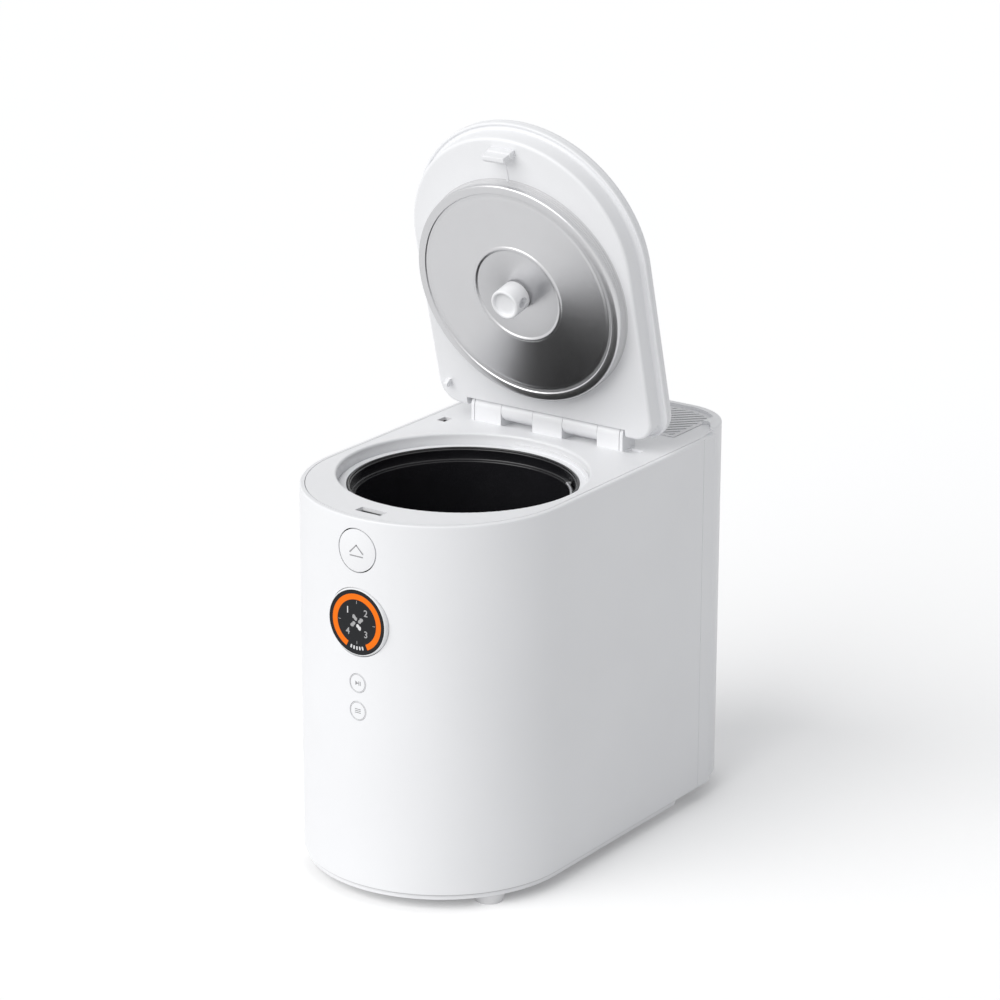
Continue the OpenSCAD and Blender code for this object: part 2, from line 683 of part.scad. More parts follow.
module latch_bracket() color("gainsboro") on_axis() difference() {
    union() {
        for (s = [0, 1]) mirror([s, 0, 0])
            block([latch_slot[0] + 0.5, guide_y, push_z - 12], [latch_slot[0] + 3, slider_y[1] + 3.5, panel_z]);
        block([-latch_slot[0] - 1, guide_y, push_z - 12], [latch_slot[0] + 1, guide_y + 2.3, push_z + 11]);
        block([-latch_slot[0] - 1, guide_y, push_z - 12], [latch_slot[0] + 1, slider_y[1] + 3.5, push_z - 9]);
    }
    rod_y(stem_r + bore_fit, 0, push_z, guide_y - 1, guide_y + 3);
}

switch_x = (switch_slot[0] + switch_slot[1]) / 2;
switch_y = (switch_slot[2] + switch_slot[3]) / 2;
peg_z = hinge_z - 17;
module micro_switch() color("black") on_axis() difference() {
    union() {
        block([switch_x - 4, switch_y - 8, peg_z - 18], [switch_x + 4, switch_y + 8, peg_z - 5]);
        block([switch_x - 7.5, switch_y - 8, peg_z - 18], [switch_x - 3, switch_y + 8, peg_z - 15]);
        block([switch_x - 7.5, switch_y - 8, peg_z - 18], [switch_x - 5, switch_y + 8, panel_z]);
    }
    translate([switch_x, switch_y, peg_z - 9]) cylinder(h = 6, r = 1.5 + bore_fit);
}

module switch_plunger() color("red") on_axis()
    translate([switch_x, switch_y, peg_z - 6.8]) cylinder(h = 6.4, r = 1.5);

// ---------------------------------------------------------------- chamber and bucket

module chamber_liner() color("lightsteelblue") on_axis() difference() {
    union() {
        ring(liner_r - liner_t, liner_r, liner_z, recess_z);
        ring(hub_hole_r, liner_r, liner_z, liner_z + liner_t);
        ring(liner_r - liner_t, liner_r + 2.5, recess_z - 1.2, recess_z);
    }
    block([4 - duct_x, liner_r - 20, port_z], [duct_x - 4, liner_r + 5, port_z + 18]);
}

module insulation_pad() color("khaki") on_axis() ring(hub_hole_r + 2, liner_r - 20, liner_z - pad_t, liner_z);

module heater_plate() color("silver") on_axis() {
    ring(hub_hole_r, liner_r - 16, heater_z, heater_z + heater_t);
    for (a = [45:90:315]) rotate(a) translate([liner_r - 40, 0, heater_z - heater_leg]) cylinder(h = heater_leg + 1, r = 5);
}

module thermostat() color("dimgray") on_axis()
    translate([55 - liner_r, 0, heater_z - heater_leg]) cylinder(h = heater_leg, r = 8);

module bucket() color("#1c1c1e") on_axis() difference() {
    union() {
        ring(bucket_in_r, bucket_in_r + bucket_t, step_z - bucket_t, bucket_top);
        ring(step_in_r, bucket_in_r + bucket_t, step_z - bucket_t, step_z);
        ring(step_in_r, step_in_r + bucket_t, bucket_z, step_z);
        disc(step_in_r + bucket_t, bucket_z, bucket_z + 2);
        disc(bucket_boss_r, bucket_z, bucket_z + 10);
        // rim
        translate([0, 0, bucket_top - 3]) rotate_extrude() translate([bucket_in_r, 0])
            rounded_rim(bucket_rim_r - bucket_in_r, 3);
        // ears of the handle
        rotate(bail_turn) for (s = [0, 1]) mirror([s, 0, 0])
            block([bucket_in_r - 1.4, -4.5, step_z - 0.5], [bucket_in_r + 0.4, 4.5, step_z + 7]);
    }
    translate([0, 0, bucket_z - 1]) cylinder(h = 20, r = paddle_shaft_r + bore_fit);
    translate([0, 0, bucket_z + 6]) cylinder(h = 10, r = bucket_boss_r - 2);
    rotate(bail_turn) for (s = [0, 1]) mirror([s, 0, 0])
        translate([bucket_in_r - 4, 0, bail_z]) rotate([0, 90, 0]) cylinder(h = 5, r = bail_wire_r + bore_fit);
}

// The rim's section: a block with both upper corners rounded
module rounded_rim(w, h) {
    square([w, h - 1.2]);
    translate([1.2, 0]) square([w - 2.4, h]);
    for (x = [1.2, w - 1.2]) translate([x, h - 1.2]) circle(1.2);
}

paddle_shaft_r = 6;
bucket_boss_r = 11;
bail_z = step_z + bail_wire_r + 0.2;
bail_r = step_in_r + 0.4;
bail_turn = 50;

module bail_handle() color("silver") on_axis() rotate(bail_turn) {
    translate([0, 0, bail_z]) rotate([0, 0, 180]) rotate_extrude(angle = 180) translate([bail_r, 0]) circle(bail_wire_r);
    for (s = [0, 1]) mirror([s, 0, 0]) {
        translate([bail_r, 0, bail_z]) sphere(bail_wire_r);
        translate([bail_r, 0, bail_z]) rotate([0, 90, 0]) cylinder(h = bucket_in_r + 0.6 - bail_r, r = bail_wire_r);
    }
}

module shaft_seal() color("dimgray") on_axis()
    ring(paddle_shaft_r + bore_fit, bucket_boss_r - 2, bucket_z + 6, bucket_z + 9.8);

coupling_r = 14;
lug_h = 5;
coupling_z = heater_z + 1;
lug_angle = 50;
module lugs(z0, turn) for (a = [0:120:240]) translate([0, 0, z0]) rotate([0, 0, a + turn])
    rotate_extrude(angle = lug_angle) translate([coupling_r - 6, 0]) square([5.5, lug_h]);

module paddle() color("silver") on_axis() {
    disc(paddle_shaft_r, coupling_z - 1, bucket_z + 12);
    disc(bucket_boss_r + 4, bucket_z + 10.3, bucket_z + 24);
    translate([0, 0, bucket_z + 24]) cylinder(h = 6, r1 = bucket_boss_r + 4, r2 = 7);
    for (a = [0, 180]) rotate(a) {
        translate([bucket_boss_r + 2, -4, bucket_z + 10.5]) cube([paddle_reach - bucket_boss_r - 2, 8, 7]);
        translate([34, -4, bucket_z + 3]) rotate([0, 0, 12]) cube([5, 14, 34]);
        translate([paddle_reach - 6, -4, bucket_z + 3]) rotate([0, 0, 12]) cube([5, 14, 60]);
    }
}

module bucket_coupling() color("dimgray") on_axis() {
    ring(paddle_shaft_r, coupling_r, coupling_z, coupling_z + 4);
    lugs(coupling_z - lug_h + 0.5, 5);
}

// ---------------------------------------------------------------- drive

fast_teeth = [12, 48];
slow_teeth = [14, 42];
idler_y = slow_module * (slow_teeth[0] + slow_teeth[1]) / 2;
motor_y = idler_y + fast_module * (fast_teeth[0] + fast_teeth[1]) / 2;
fast_z = gearbox_z + 4;
slow_z = fast_z + 8;
fast_face = 6;
bearing_z = chassis_z - 6;
slow_face = 9;

// Points of a spur gear with involute flanks and a tooth centred on the X axis
function involute(base, r) = let (t = sqrt(max(0, pow(r / base, 2) - 1))) t * 180 / PI - atan(t);
function tooth_flank(m, z, n, side) =
    let (
        pitch = m * z / 2,
        base = pitch * cos(20),
        low = max(base, pitch - 1.25 * m),
        r = low + (pitch + m - low) * n / 4,
        half = 90 / z - 0.09 * 180 / (PI * pitch) + involute(base, pitch) - involute(base, r)
    ) [r, side * half];
module gear_plan(m, z) {
    root = m * z / 2 - 1.25 * m;
    polygon([for (k = [0:z - 1]) each
        let (
            a = 360 * k / z,
            rise = [for (n = [0:4]) tooth_flank(m, z, n, -1)],
            fall = [for (n = [4:-1:0]) tooth_flank(m, z, n, 1)],
            path = concat([[root, rise[0][1]]], rise, fall, [[root, fall[4][1]]])
        ) [for (p = path) p[0] * [cos(a + p[1]), sin(a + p[1])]]]);
}

// The mate of a gear has a gap where the gear has a tooth
module gear(m, z, z0, face, bore, turn) translate([0, 0, z0]) rotate(turn) linear_extrude(face) difference() {
    gear_plan(m, z);
    circle(bore);
}

module output_gear() color("gold") on_axis() {
    gear(slow_module, slow_teeth[1], slow_z, slow_face, shaft_r, 90);
    ring(shaft_r, shaft_r + 4, slow_z - 4, bearing_z - fit);
}

module output_shaft() color("silver") on_axis() disc(shaft_r, gearbox_z + 0.5, coupling_z - 1.5);

module shaft_bearings() color("lightgray") on_axis() {
    ring(shaft_r + bore_fit, shaft_r + 4, gearbox_z + 0.2, gearbox_z + 6.5);
    ring(shaft_r + bore_fit, shaft_r + 4, bearing_z, chassis_z + chassis_t);
}

module drive_coupling() color("dimgray") on_axis() {
    ring(shaft_r, coupling_r, coupling_z - lug_h - 2.2, coupling_z - lug_h + 0.2);
    lugs(coupling_z - lug_h - 0.3, 65);
}

idler_shaft_r = 4;
module idler_gear() color("goldenrod") on_axis() translate([0, idler_y, 0]) {
    gear(fast_module, fast_teeth[1], fast_z, fast_face, idler_shaft_r - 0.5, 90);
    gear(slow_module, slow_teeth[0], slow_z - 2.5, slow_face + 3, idler_shaft_r - 0.5, 270 + 180 / slow_teeth[0]);
    disc(idler_shaft_r, gearbox_z + 0.5, gearbox_z + gearbox_h - 0.5);
}

motor_shaft_r = 2.5;
motor_z = floor_z + 5;
module motor_pinion() color("gold") on_axis() translate([0, motor_y, 0]) {
    gear(fast_module, fast_teeth[0], fast_z, fast_face, motor_shaft_r - 0.5, 270 + 180 / fast_teeth[0]);
    disc(motor_shaft_r, gearbox_z - 12, fast_z + fast_face);
}

module drive_motor() color("silver") on_axis() translate([0, motor_y, 0]) difference() {
    union() {
        disc(motor_r, motor_z, gearbox_z);
        disc(8, gearbox_z - 1, gearbox_z + 1.5);
    }
    translate([0, 0, gearbox_z - 13]) cylinder(h = 16, r = motor_shaft_r + bore_fit);
}

output_pocket = slow_module * slow_teeth[1] / 2 + slow_module + 1.5;
idler_pocket = fast_module * fast_teeth[1] / 2 + fast_module + 1.5;
pinion_pocket = fast_module * fast_teeth[0] / 2 + fast_module + 1.5;
module gearbox_plan(grow) {
    circle(output_pocket + grow);
    translate([0, idler_y]) circle(idler_pocket + grow);
    translate([0, motor_y]) circle(pinion_pocket + grow);
    translate([-22 - grow, 0]) square([44 + 2 * grow, idler_y]);
}

module gearbox_housing() color("gray") on_axis() difference() {
    translate([0, 0, gearbox_z]) linear_extrude(gearbox_h - 2.5) gearbox_plan(2.5);
    translate([0, 0, gearbox_z + 2.5]) linear_extrude(gearbox_h) gearbox_plan(0);
    disc(shaft_r + 4, gearbox_z + 0.2, gearbox_z + 6.5);
    translate([0, idler_y, gearbox_z + 0.3]) cylinder(h = 6, r = idler_shaft_r + bore_fit);
    translate([0, motor_y, gearbox_z - 1]) cylinder(h = 6, r = 8 + bore_fit);
}

module gearbox_lid() color("gray") on_axis() difference() {
    translate([0, 0, gearbox_z + gearbox_h - 2.5]) linear_extrude(2.5) gearbox_plan(2.5);
    disc(shaft_r + 4, gearbox_z, chassis_z + 1);
    translate([0, idler_y, gearbox_z + gearbox_h - 3]) cylinder(h = 2.8, r = idler_shaft_r + bore_fit);
}

module chassis_plate() color("silver") on_axis() translate([0, 0, chassis_z]) linear_extrude(chassis_t) difference() {
    union() {
        circle(liner_r);
        translate([30 - liner_r, 0]) square([2 * liner_r - 60, liner_r + 20]);
    }
    circle(shaft_r + 4);
    for (p = post_places) translate(p) circle(1.8);
}

module chassis_screws() color("silver") on_axis() for (p = post_places) translate([p[0], p[1], 0]) {
    translate([0, 0, chassis_z + chassis_t]) cylinder(h = 2.2, r = 3.2);
    translate([0, 0, chassis_z - 10]) cylinder(h = 10 + chassis_t + 1, r = 1.5);
}

// ---------------------------------------------------------------- electronics

board_lift = 6;
board_stand_places = [for (x = [-46, 46]) for (y = [motor_y + motor_r + 14, back_y - 36]) [x, y]];
module power_board() color("darkgreen") on_axis() {
    y0 = board_stand_places[0][1] - 6;
    y1 = board_stand_places[1][1] + 6;
    z0 = floor_z + board_lift;
    block([-52, y0, z0], [52, y1, z0 + 1.6]);
    block([-34, y0 + 10, z0 + 1], [2, y0 + 44, z0 + 30]);
    for (n = [0:2]) translate([18 + n * 12, y0 + 20, z0 + 1]) cylinder(h = 26, r = 5);
    block([14, y0 + 32, z0 + 1], [46, y0 + 44, z0 + 22]);
}

module control_board() color("darkgreen") on_axis() {
    y0 = back_y - wall - 8;
    difference() {
        block([-4, y0 - 1.6, vent_z + 78], [56, y0, vent_z + 138]);
        rod_y(2, 26, vent_z + 108, y0 - 3, y0 + 1);
    }
    for (x = [1, 51]) for (z = [vent_z + 83, vent_z + 133]) rod_y(3, x, z, y0 - 1, back_y - wall);
    block([4, y0 - 9, vent_z + 84], [20, y0 - 1, vent_z + 96]);
    block([30, y0 - 4.6, vent_z + 116], [46, y0 - 1, vent_z + 132]);
}

module power_inlet() color("#222222") on_axis() difference() {
    union() {
        block([inlet_x - inlet_w / 2 + 0.2, back_y - 26, inlet_z - inlet_h / 2 + 0.2],
              [inlet_x + inlet_w / 2 - 0.2, back_y, inlet_z + inlet_h / 2 - 0.2]);
        block([inlet_x - inlet_w / 2 - 3, back_y - wall - 2, inlet_z - inlet_h / 2 - 3],
              [inlet_x + inlet_w / 2 + 3, back_y - wall, inlet_z + inlet_h / 2 + 3]);
    }
    difference() {
        block([inlet_x - inlet_w / 2 + 3, back_y - 17, inlet_z - inlet_h / 2 + 3],
              [inlet_x + inlet_w / 2 - 3, back_y + 1, inlet_z + inlet_h / 2 - 3]);
        for (p = [[-7, -2], [0, 2], [7, -2]])
            block([inlet_x + p[0] - 1, back_y - 18, inlet_z + p[1] - 2], [inlet_x + p[0] + 1, back_y - 3, inlet_z + p[1] + 2]);
    }
}

// ---------------------------------------------------------------- lid

cut_half = hinge_half + 7;
cut_y = hinge_y - barrel_r - 0.7;

module cover_section() difference() {
    rounded_section(0, lid_seam_z, lid_edge_r + 2, lid_top, lid_edge_r);
    rounded_section(lid_wall, lid_seam_z - 1, lid_edge_r + 3, lid_top - lid_wall, lid_edge_r - lid_wall);
}

module lid_sweep() {
    front_sweep(lid_w) children();
    side_sweep(lid_w, lid_end_y - lid_corner_r) children();
    back_sweep(lid_w, lid_end_y, lid_corner_r) children();
}

module lid_plan(inset) d_plan(lid_w - inset, lid_end_y - inset, lid_corner_r - inset);

// A moving barrel of the hinge, joined to the roof of the lid
module knuckle(k) {
    rod_x(barrel_r, k[0], k[1]);
    block([k[0], hinge_y - barrel_r, hinge_z], [k[1], lid_end_y - 1, lid_top - 1]);
}

module lid_outer_cover() color("white") on_axis() opened() difference() {
    union() {
        difference() {
            union() {
                lid_sweep() cover_section();
                translate([0, 0, lid_top - lid_wall]) linear_extrude(lid_wall) lid_plan(lid_edge_r + 1);
            }
            rod_x(barrel_r + 0.5, -cut_half + 1, cut_half - 1);
        }
        knuckle(left_knuckle);
        knuckle(right_knuckle);
    }
    rod_x(pin_r + bore_fit, -cut_half, cut_half);
    rod_x(pin_r + 3.6, spring_x[0], spring_x[1] + 1);
}

lid_shelf = 5.5;
shoulder_r = 2.2;
shelf_fill = 3;
module panel_section() {
    // skirt with a round lip, web with a filled corner, and wall down to the plateau
    translate([0, lid_lip_z + 1.1]) square([lid_wall, lid_seam_z - 0.2 - lid_lip_z - 1.1]);
    translate([1.1, lid_lip_z + 1.1]) circle(1.1);
    translate([lid_wall - 1.1, lid_lip_z + 1.1]) circle(1.1);
    translate([1, lid_lip_z + 0.8]) square([lid_shelf + lid_wall - 1, lid_wall]);
    translate([lid_shelf, lid_lip_z + 0.8]) polygon([[-shelf_fill, 1], [-shelf_fill, 0], [0, -shelf_fill], [1, -shelf_fill], [1, 1]]);
    translate([lid_shelf, plateau_z + shoulder_r]) square([lid_wall, lid_lip_z + 0.8 + lid_wall - plateau_z - shoulder_r]);
    translate([lid_shelf + shoulder_r, plateau_z + shoulder_r]) circle(shoulder_r);
    translate([lid_shelf + shoulder_r, plateau_z]) square([4, lid_wall]);
}

drum_r = plate_r - 0.7 - fit;
stem_hole_r = 5;
module lid_inner_panel() color("white") on_axis() opened() difference() {
    union() {
        lid_sweep() panel_section();
        translate([0, 0, plateau_z]) linear_extrude(lid_wall) lid_plan(lid_shelf + shoulder_r + 1);
        intersection() {
            block([-cut_half - lid_wall, cut_y - lid_wall, plateau_z], [cut_half + lid_wall, lid_end_y, lid_seam_z - 0.2]);
            translate([0, 0, plateau_z - 1]) linear_extrude(40) lid_plan(lid_shelf + 1);
        }
        ring(drum_r - lid_wall, drum_r, plate_z + plate_t, plateau_z + 1);
        disc(stem_hole_r + 4, plate_z + plate_t, plateau_z + 1);
    }
    block([-cut_half, cut_y, plateau_z - 1], [cut_half, lid_end_y + 1, lid_seam_z + 1]);
    disc(stem_hole_r + bore_fit, plate_z, plateau_z + 10);
}

// The plate has a turned-up rim, a shallow bead near its edge and another round the knob
module steel_plate() color("silver") on_axis() opened() translate([0, 0, plate_z]) rotate_extrude() {
    translate([stem_hole_r + fit, 0]) square([knob_bead + 0.5 - stem_hole_r - fit, plate_t]);
    translate([knob_bead, bead_h]) square([bead_w, plate_t]);
    translate([knob_bead + bead_w - 0.5, 0]) square([edge_bead + 1 - knob_bead - bead_w, plate_t]);
    translate([edge_bead, bead_h]) square([bead_w, plate_t]);
    translate([edge_bead + bead_w - 0.5, 0]) square([plate_r - edge_bead - bead_w + 0.5, plate_t]);
    translate([plate_r - 0.7, 0]) square([0.7, 3.2]);
}

module plate_gasket() color("lightgray") on_axis() opened() ring(drum_r, plate_r + 0.6, plate_z + 3.4, plateau_z - 0.2);

knob_top = plate_z - 0.4;
module plate_knob() color("white") on_axis() opened() difference() {
    union() {
        disc(knob_r, knob_top - knob_h, knob_top - 1);
        disc(knob_r - 2, knob_top - 2, knob_top);
        disc(stem_hole_r, knob_top - 1, plateau_z + lid_wall + 2);
    }
    // dished end and a window in the side
    disc(knob_r - 2.5, knob_top - knob_h - 1, knob_top - knob_h + 2.5);
    block([knob_r - 4, -3.5, knob_top - knob_h + 5], [knob_r + 1, 3.5, knob_top - 5]);
}

module knob_clip() color("dimgray") on_axis() opened()
    ring(stem_hole_r, stem_hole_r + 4, plateau_z + lid_wall + 0.2, plateau_z + lid_wall + 1.8);

hook_y = front_y + 20;
hook_z = plateau_z - 15.5;
module lid_hook() color("white") on_axis() opened() {
    translate([0, 0, plateau_z - 7]) linear_extrude(7) translate([-11.4, hook_y - 4]) square([22.8, 5.5]);
    block([-9.3, hook_y - 3, hook_z], [9.3, hook_y + 1.5, plateau_z - 6]);
    // barb towards the hinge
    translate([-9.3, hook_y + 1, hook_z]) rotate([90, 0, 90]) linear_extrude(18.6)
        polygon([[0, 0], [1.4, 0], [3, 2.2], [3, 3.2], [0, 3.2]]);
}

module switch_peg() color("white") on_axis() opened()
    translate([switch_x - 1.75, switch_y, plateau_z]) rotate([90, 0, 90]) linear_extrude(3.5)
        polygon([[3, 0], [-3, 0], [-3, -3], [-1.2, -7.5], [1.2, -7.5], [3, -3]]);

outer_shell();
top_panel();
seat_ring();
base_tray();
rubber_feet();
rear_cover();
case_screws();
filter_tray();
filter_cartridge();
filter_seal();
filter_cover();
air_duct();
fan_housing();
fan_rotor();
display_bezel();
display_lens();
light_ring();
display_board();
play_button();
mode_button();
push_button();
push_spring();
latch_slider();
latch_bracket();
micro_switch();
switch_plunger();
chamber_liner();
insulation_pad();
heater_plate();
thermostat();
chassis_plate();
chassis_screws();
bucket();
bail_handle();
shaft_seal();
paddle();
bucket_coupling();
drive_coupling();
output_shaft();
output_gear();
shaft_bearings();
idler_gear();
motor_pinion();
drive_motor();
gearbox_housing();
gearbox_lid();
control_board();
power_board();
power_inlet();
lid_outer_cover();
lid_inner_panel();
steel_plate();
plate_gasket();
plate_knob();
knob_clip();
lid_hook();
switch_peg();
hinge_pin();
hinge_spring();
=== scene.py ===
"""Kitchen-waste composter on a pale floor, with its lid up.

Laid out as an add-on and run as a script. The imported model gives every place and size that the
solids have; the pieces made here stand in for the solids whose shape wants more detail.
"""

import json
import math

import bmesh
import bpy
from bpy.props import FloatProperty, FloatVectorProperty, PointerProperty
from mathutils import Matrix, Vector


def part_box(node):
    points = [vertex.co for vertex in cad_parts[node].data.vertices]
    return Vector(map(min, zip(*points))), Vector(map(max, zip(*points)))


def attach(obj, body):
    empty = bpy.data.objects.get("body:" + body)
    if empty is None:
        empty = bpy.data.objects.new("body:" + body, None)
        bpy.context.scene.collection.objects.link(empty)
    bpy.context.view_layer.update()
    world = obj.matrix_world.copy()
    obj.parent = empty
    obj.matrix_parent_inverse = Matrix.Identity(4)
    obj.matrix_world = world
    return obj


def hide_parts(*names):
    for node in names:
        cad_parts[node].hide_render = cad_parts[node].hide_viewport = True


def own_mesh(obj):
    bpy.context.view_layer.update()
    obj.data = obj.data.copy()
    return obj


bl_info = {
    "name": "Kitchen-waste composter",
    "version": (1, 0, 0),
    "blender": (4, 5, 0),
    "location": "View3D > Sidebar > Composter",
    "description": "Finishes, detail pieces and stage for a countertop kitchen-waste composter",
    "category": "Object",
}

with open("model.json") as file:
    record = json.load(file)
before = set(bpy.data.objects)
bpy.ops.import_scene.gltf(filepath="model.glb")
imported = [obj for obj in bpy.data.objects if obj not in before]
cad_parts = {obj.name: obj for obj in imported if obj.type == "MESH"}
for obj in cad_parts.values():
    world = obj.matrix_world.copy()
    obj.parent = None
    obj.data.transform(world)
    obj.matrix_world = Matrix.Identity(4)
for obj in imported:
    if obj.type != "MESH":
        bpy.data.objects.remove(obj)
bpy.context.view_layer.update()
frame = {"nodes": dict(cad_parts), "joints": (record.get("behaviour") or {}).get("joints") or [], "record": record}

MM = 0.001
NODES = frame["nodes"]
JOINTS = {joint["name"]: joint for joint in frame["joints"]}
SLOT_COLOUR = {row["slot"]: tuple(row["base_color"]) for row in frame["record"]["materials"]}

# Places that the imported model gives
SHELL_LOW, SHELL_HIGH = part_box("outer_shell")
BUCKET_LOW, BUCKET_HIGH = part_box("bucket")
LENS_LOW, LENS_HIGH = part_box("display_lens")
PUSH_LOW, PUSH_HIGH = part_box("push_button")
HALF_WIDTH = SHELL_HIGH.x
MOUTH = Vector((0, (BUCKET_LOW.y + BUCKET_HIGH.y) / 2, 0))
HINGE = Vector(JOINTS["lid_hinge"]["pos_m"])
LID_OPEN = math.radians(JOINTS["lid_hinge"]["range_deg"][1])
SWING = (
    Matrix.Translation(HINGE) @ Matrix.Rotation(-LID_OPEN, 4, "X") @ Matrix.Translation(-HINGE)
)

# Places that several pieces share. The lid's pieces are drawn on the shut lid and swung up.
ORIGIN = Vector((0, 0, 0))
ARC_Y = MOUTH.y - 29 * MM  # where the straight sides meet the half-round front
PLATEAU_Z = HINGE.z - 9.5 * MM  # face of the lid's inner panel

TINY = 0.01 * MM
PRINT_SINK = 0.001 * MM  # a printed film starts this far inside the surface that it lies on
RIGHT_ANGLE = math.pi / 2
WHITE = (1, 1, 1, 1)


# ------------------------------------------------------------------ modelling helpers


def clear_selection():
    if bpy.context.object and bpy.context.object.mode != "OBJECT":
        bpy.ops.object.mode_set(mode="OBJECT")
    bpy.ops.object.select_all(action="DESELECT")


def choose(piece):
    """Makes one piece the only one selected, and the active one."""
    clear_selection()
    piece.select_set(True)
    bpy.context.view_layer.objects.active = piece


def named(piece, name):
    piece.name = piece.data.name = name
    return piece


def start(name, primitive, **size):
    """Adds a primitive at its size and place, keeps the place in its mesh, and names it."""
    clear_selection()
    primitive(**size)
    bpy.ops.object.transform_apply(location=True, rotation=True, scale=True)
    return named(bpy.context.object, name)


def edit(piece):
    """Opens a piece in edit mode with its whole mesh selected."""
    choose(piece)
    bpy.ops.object.mode_set(mode="EDIT")
    bpy.ops.mesh.select_mode(type="VERT")
    bpy.ops.mesh.select_all(action="SELECT")


def leave():
    bpy.ops.object.mode_set(mode="OBJECT")


def pick(piece, kind, test):
    """In edit mode, selects just the vertices, edges or faces that pass a test."""
    bpy.ops.mesh.select_mode(type=kind)
    bpy.ops.mesh.select_all(action="DESELECT")
    shape = bmesh.from_edit_mesh(piece.data)
    parts = {"VERT": shape.verts, "EDGE": shape.edges, "FACE": shape.faces}[kind]
    for part in parts:
        part.select_set(bool(test(part)))
    shape.select_flush_mode()
    bmesh.update_edit_mesh(piece.data)


def extrude(x=0, y=0, z=0):
    """In edit mode, extrudes what is selected by a step."""
    bpy.ops.mesh.extrude_region_move(TRANSFORM_OT_translate={"value": (x, y, z)})


def stretch(centre, x=1, y=1, z=1):
    """In edit mode, scales what is selected about a centre."""
    bpy.ops.transform.resize(value=(x, y, z), center_override=centre)


def middle(part):
    """The middle of an edge or a face."""
    points = [v.co for v in part.verts]
    return sum(points, Vector()) / len(points)


def close_up(piece):
    """Merges doubles, fills what is open and turns every face outwards."""
    bpy.ops.mesh.select_mode(type="VERT")
    bpy.ops.mesh.select_all(action="SELECT")
    bpy.ops.mesh.remove_doubles(threshold=TINY)
    bpy.ops.mesh.fill_holes(sides=0)
    bpy.ops.mesh.select_all(action="SELECT")
    bpy.ops.mesh.normals_make_consistent(inside=False)
    leave()


def use_modifier(piece, kind, **settings):
    """Adds a modifier with these settings and applies it."""
    choose(piece)
    bpy.ops.object.modifier_add(type=kind)
    modifier = piece.modifiers[-1]
    for key, value in settings.items():
        setattr(modifier, key, value)
    bpy.ops.object.modifier_apply(modifier=modifier.name)


def round_edges(piece, width, segments=2, angle=30):
    use_modifier(
        piece, "BEVEL", width=width, segments=segments, limit_method="ANGLE",
        angle_limit=math.radians(angle), use_clamp_overlap=True,
    )


def cut(piece, tool, operation="DIFFERENCE"):
    """Cuts a piece by a tool, or keeps what they share, and removes the tool."""
    use_modifier(piece, "BOOLEAN", object=tool, operation=operation, solver="EXACT")
    bpy.data.objects.remove(tool)


def smooth(piece, angle=35):
    choose(piece)
    bpy.ops.object.shade_smooth_by_angle(angle=math.radians(angle))


def drawn_box(name, low, high):
    """Starts a block between two corners and stays in edit mode, where it is shaped."""
    low, high = Vector(low), Vector(high)
    piece = start(
        name, bpy.ops.mesh.primitive_cube_add, size=1, location=(low + high) / 2, scale=high - low
    )
    edit(piece)
    return piece


def turned(name, centre, profile, sides=128):
    """Turns a profile of (radius, height) pairs round an upright axis, ring by ring.
    A profile that comes back to its first point makes a ring, and another is closed with discs."""
    radius, height = profile[0]
    piece = start(
        name, bpy.ops.mesh.primitive_circle_add, vertices=sides, radius=radius,
        location=(centre.x, centre.y, height),
    )
    edit(piece)
    for next_radius, next_height in profile[1:]:
        extrude(z=next_height - height)
        grow = next_radius / radius
        stretch((centre.x, centre.y, next_height), x=grow, y=grow)
        radius, height = next_radius, next_height
    close_up(piece)
    return piece


def place(piece, matrix):
    """Moves a piece by a matrix and keeps the new place in its mesh."""
    choose(piece)
    piece.matrix_world = matrix @ piece.matrix_world
    bpy.ops.object.transform_apply(location=True, rotation=True, scale=True)


def join(name, first, *others):
    """Joins pieces into the first and names it."""
    choose(first)
    for piece in others:
        piece.select_set(True)
    bpy.ops.object.join()
    return named(first, name)


def install(piece, body, slot, finish, *stands_for, angle=35):
    """Shades a piece smooth, gives it its finish, and lets it ride on a body in place of nodes."""
    smooth(piece, angle)
    piece.data.materials.clear()
    piece.data.materials.append(finish)
    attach(piece, body)
    if stands_for:
        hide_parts(*stands_for)


# ------------------------------------------------------------------ finishes


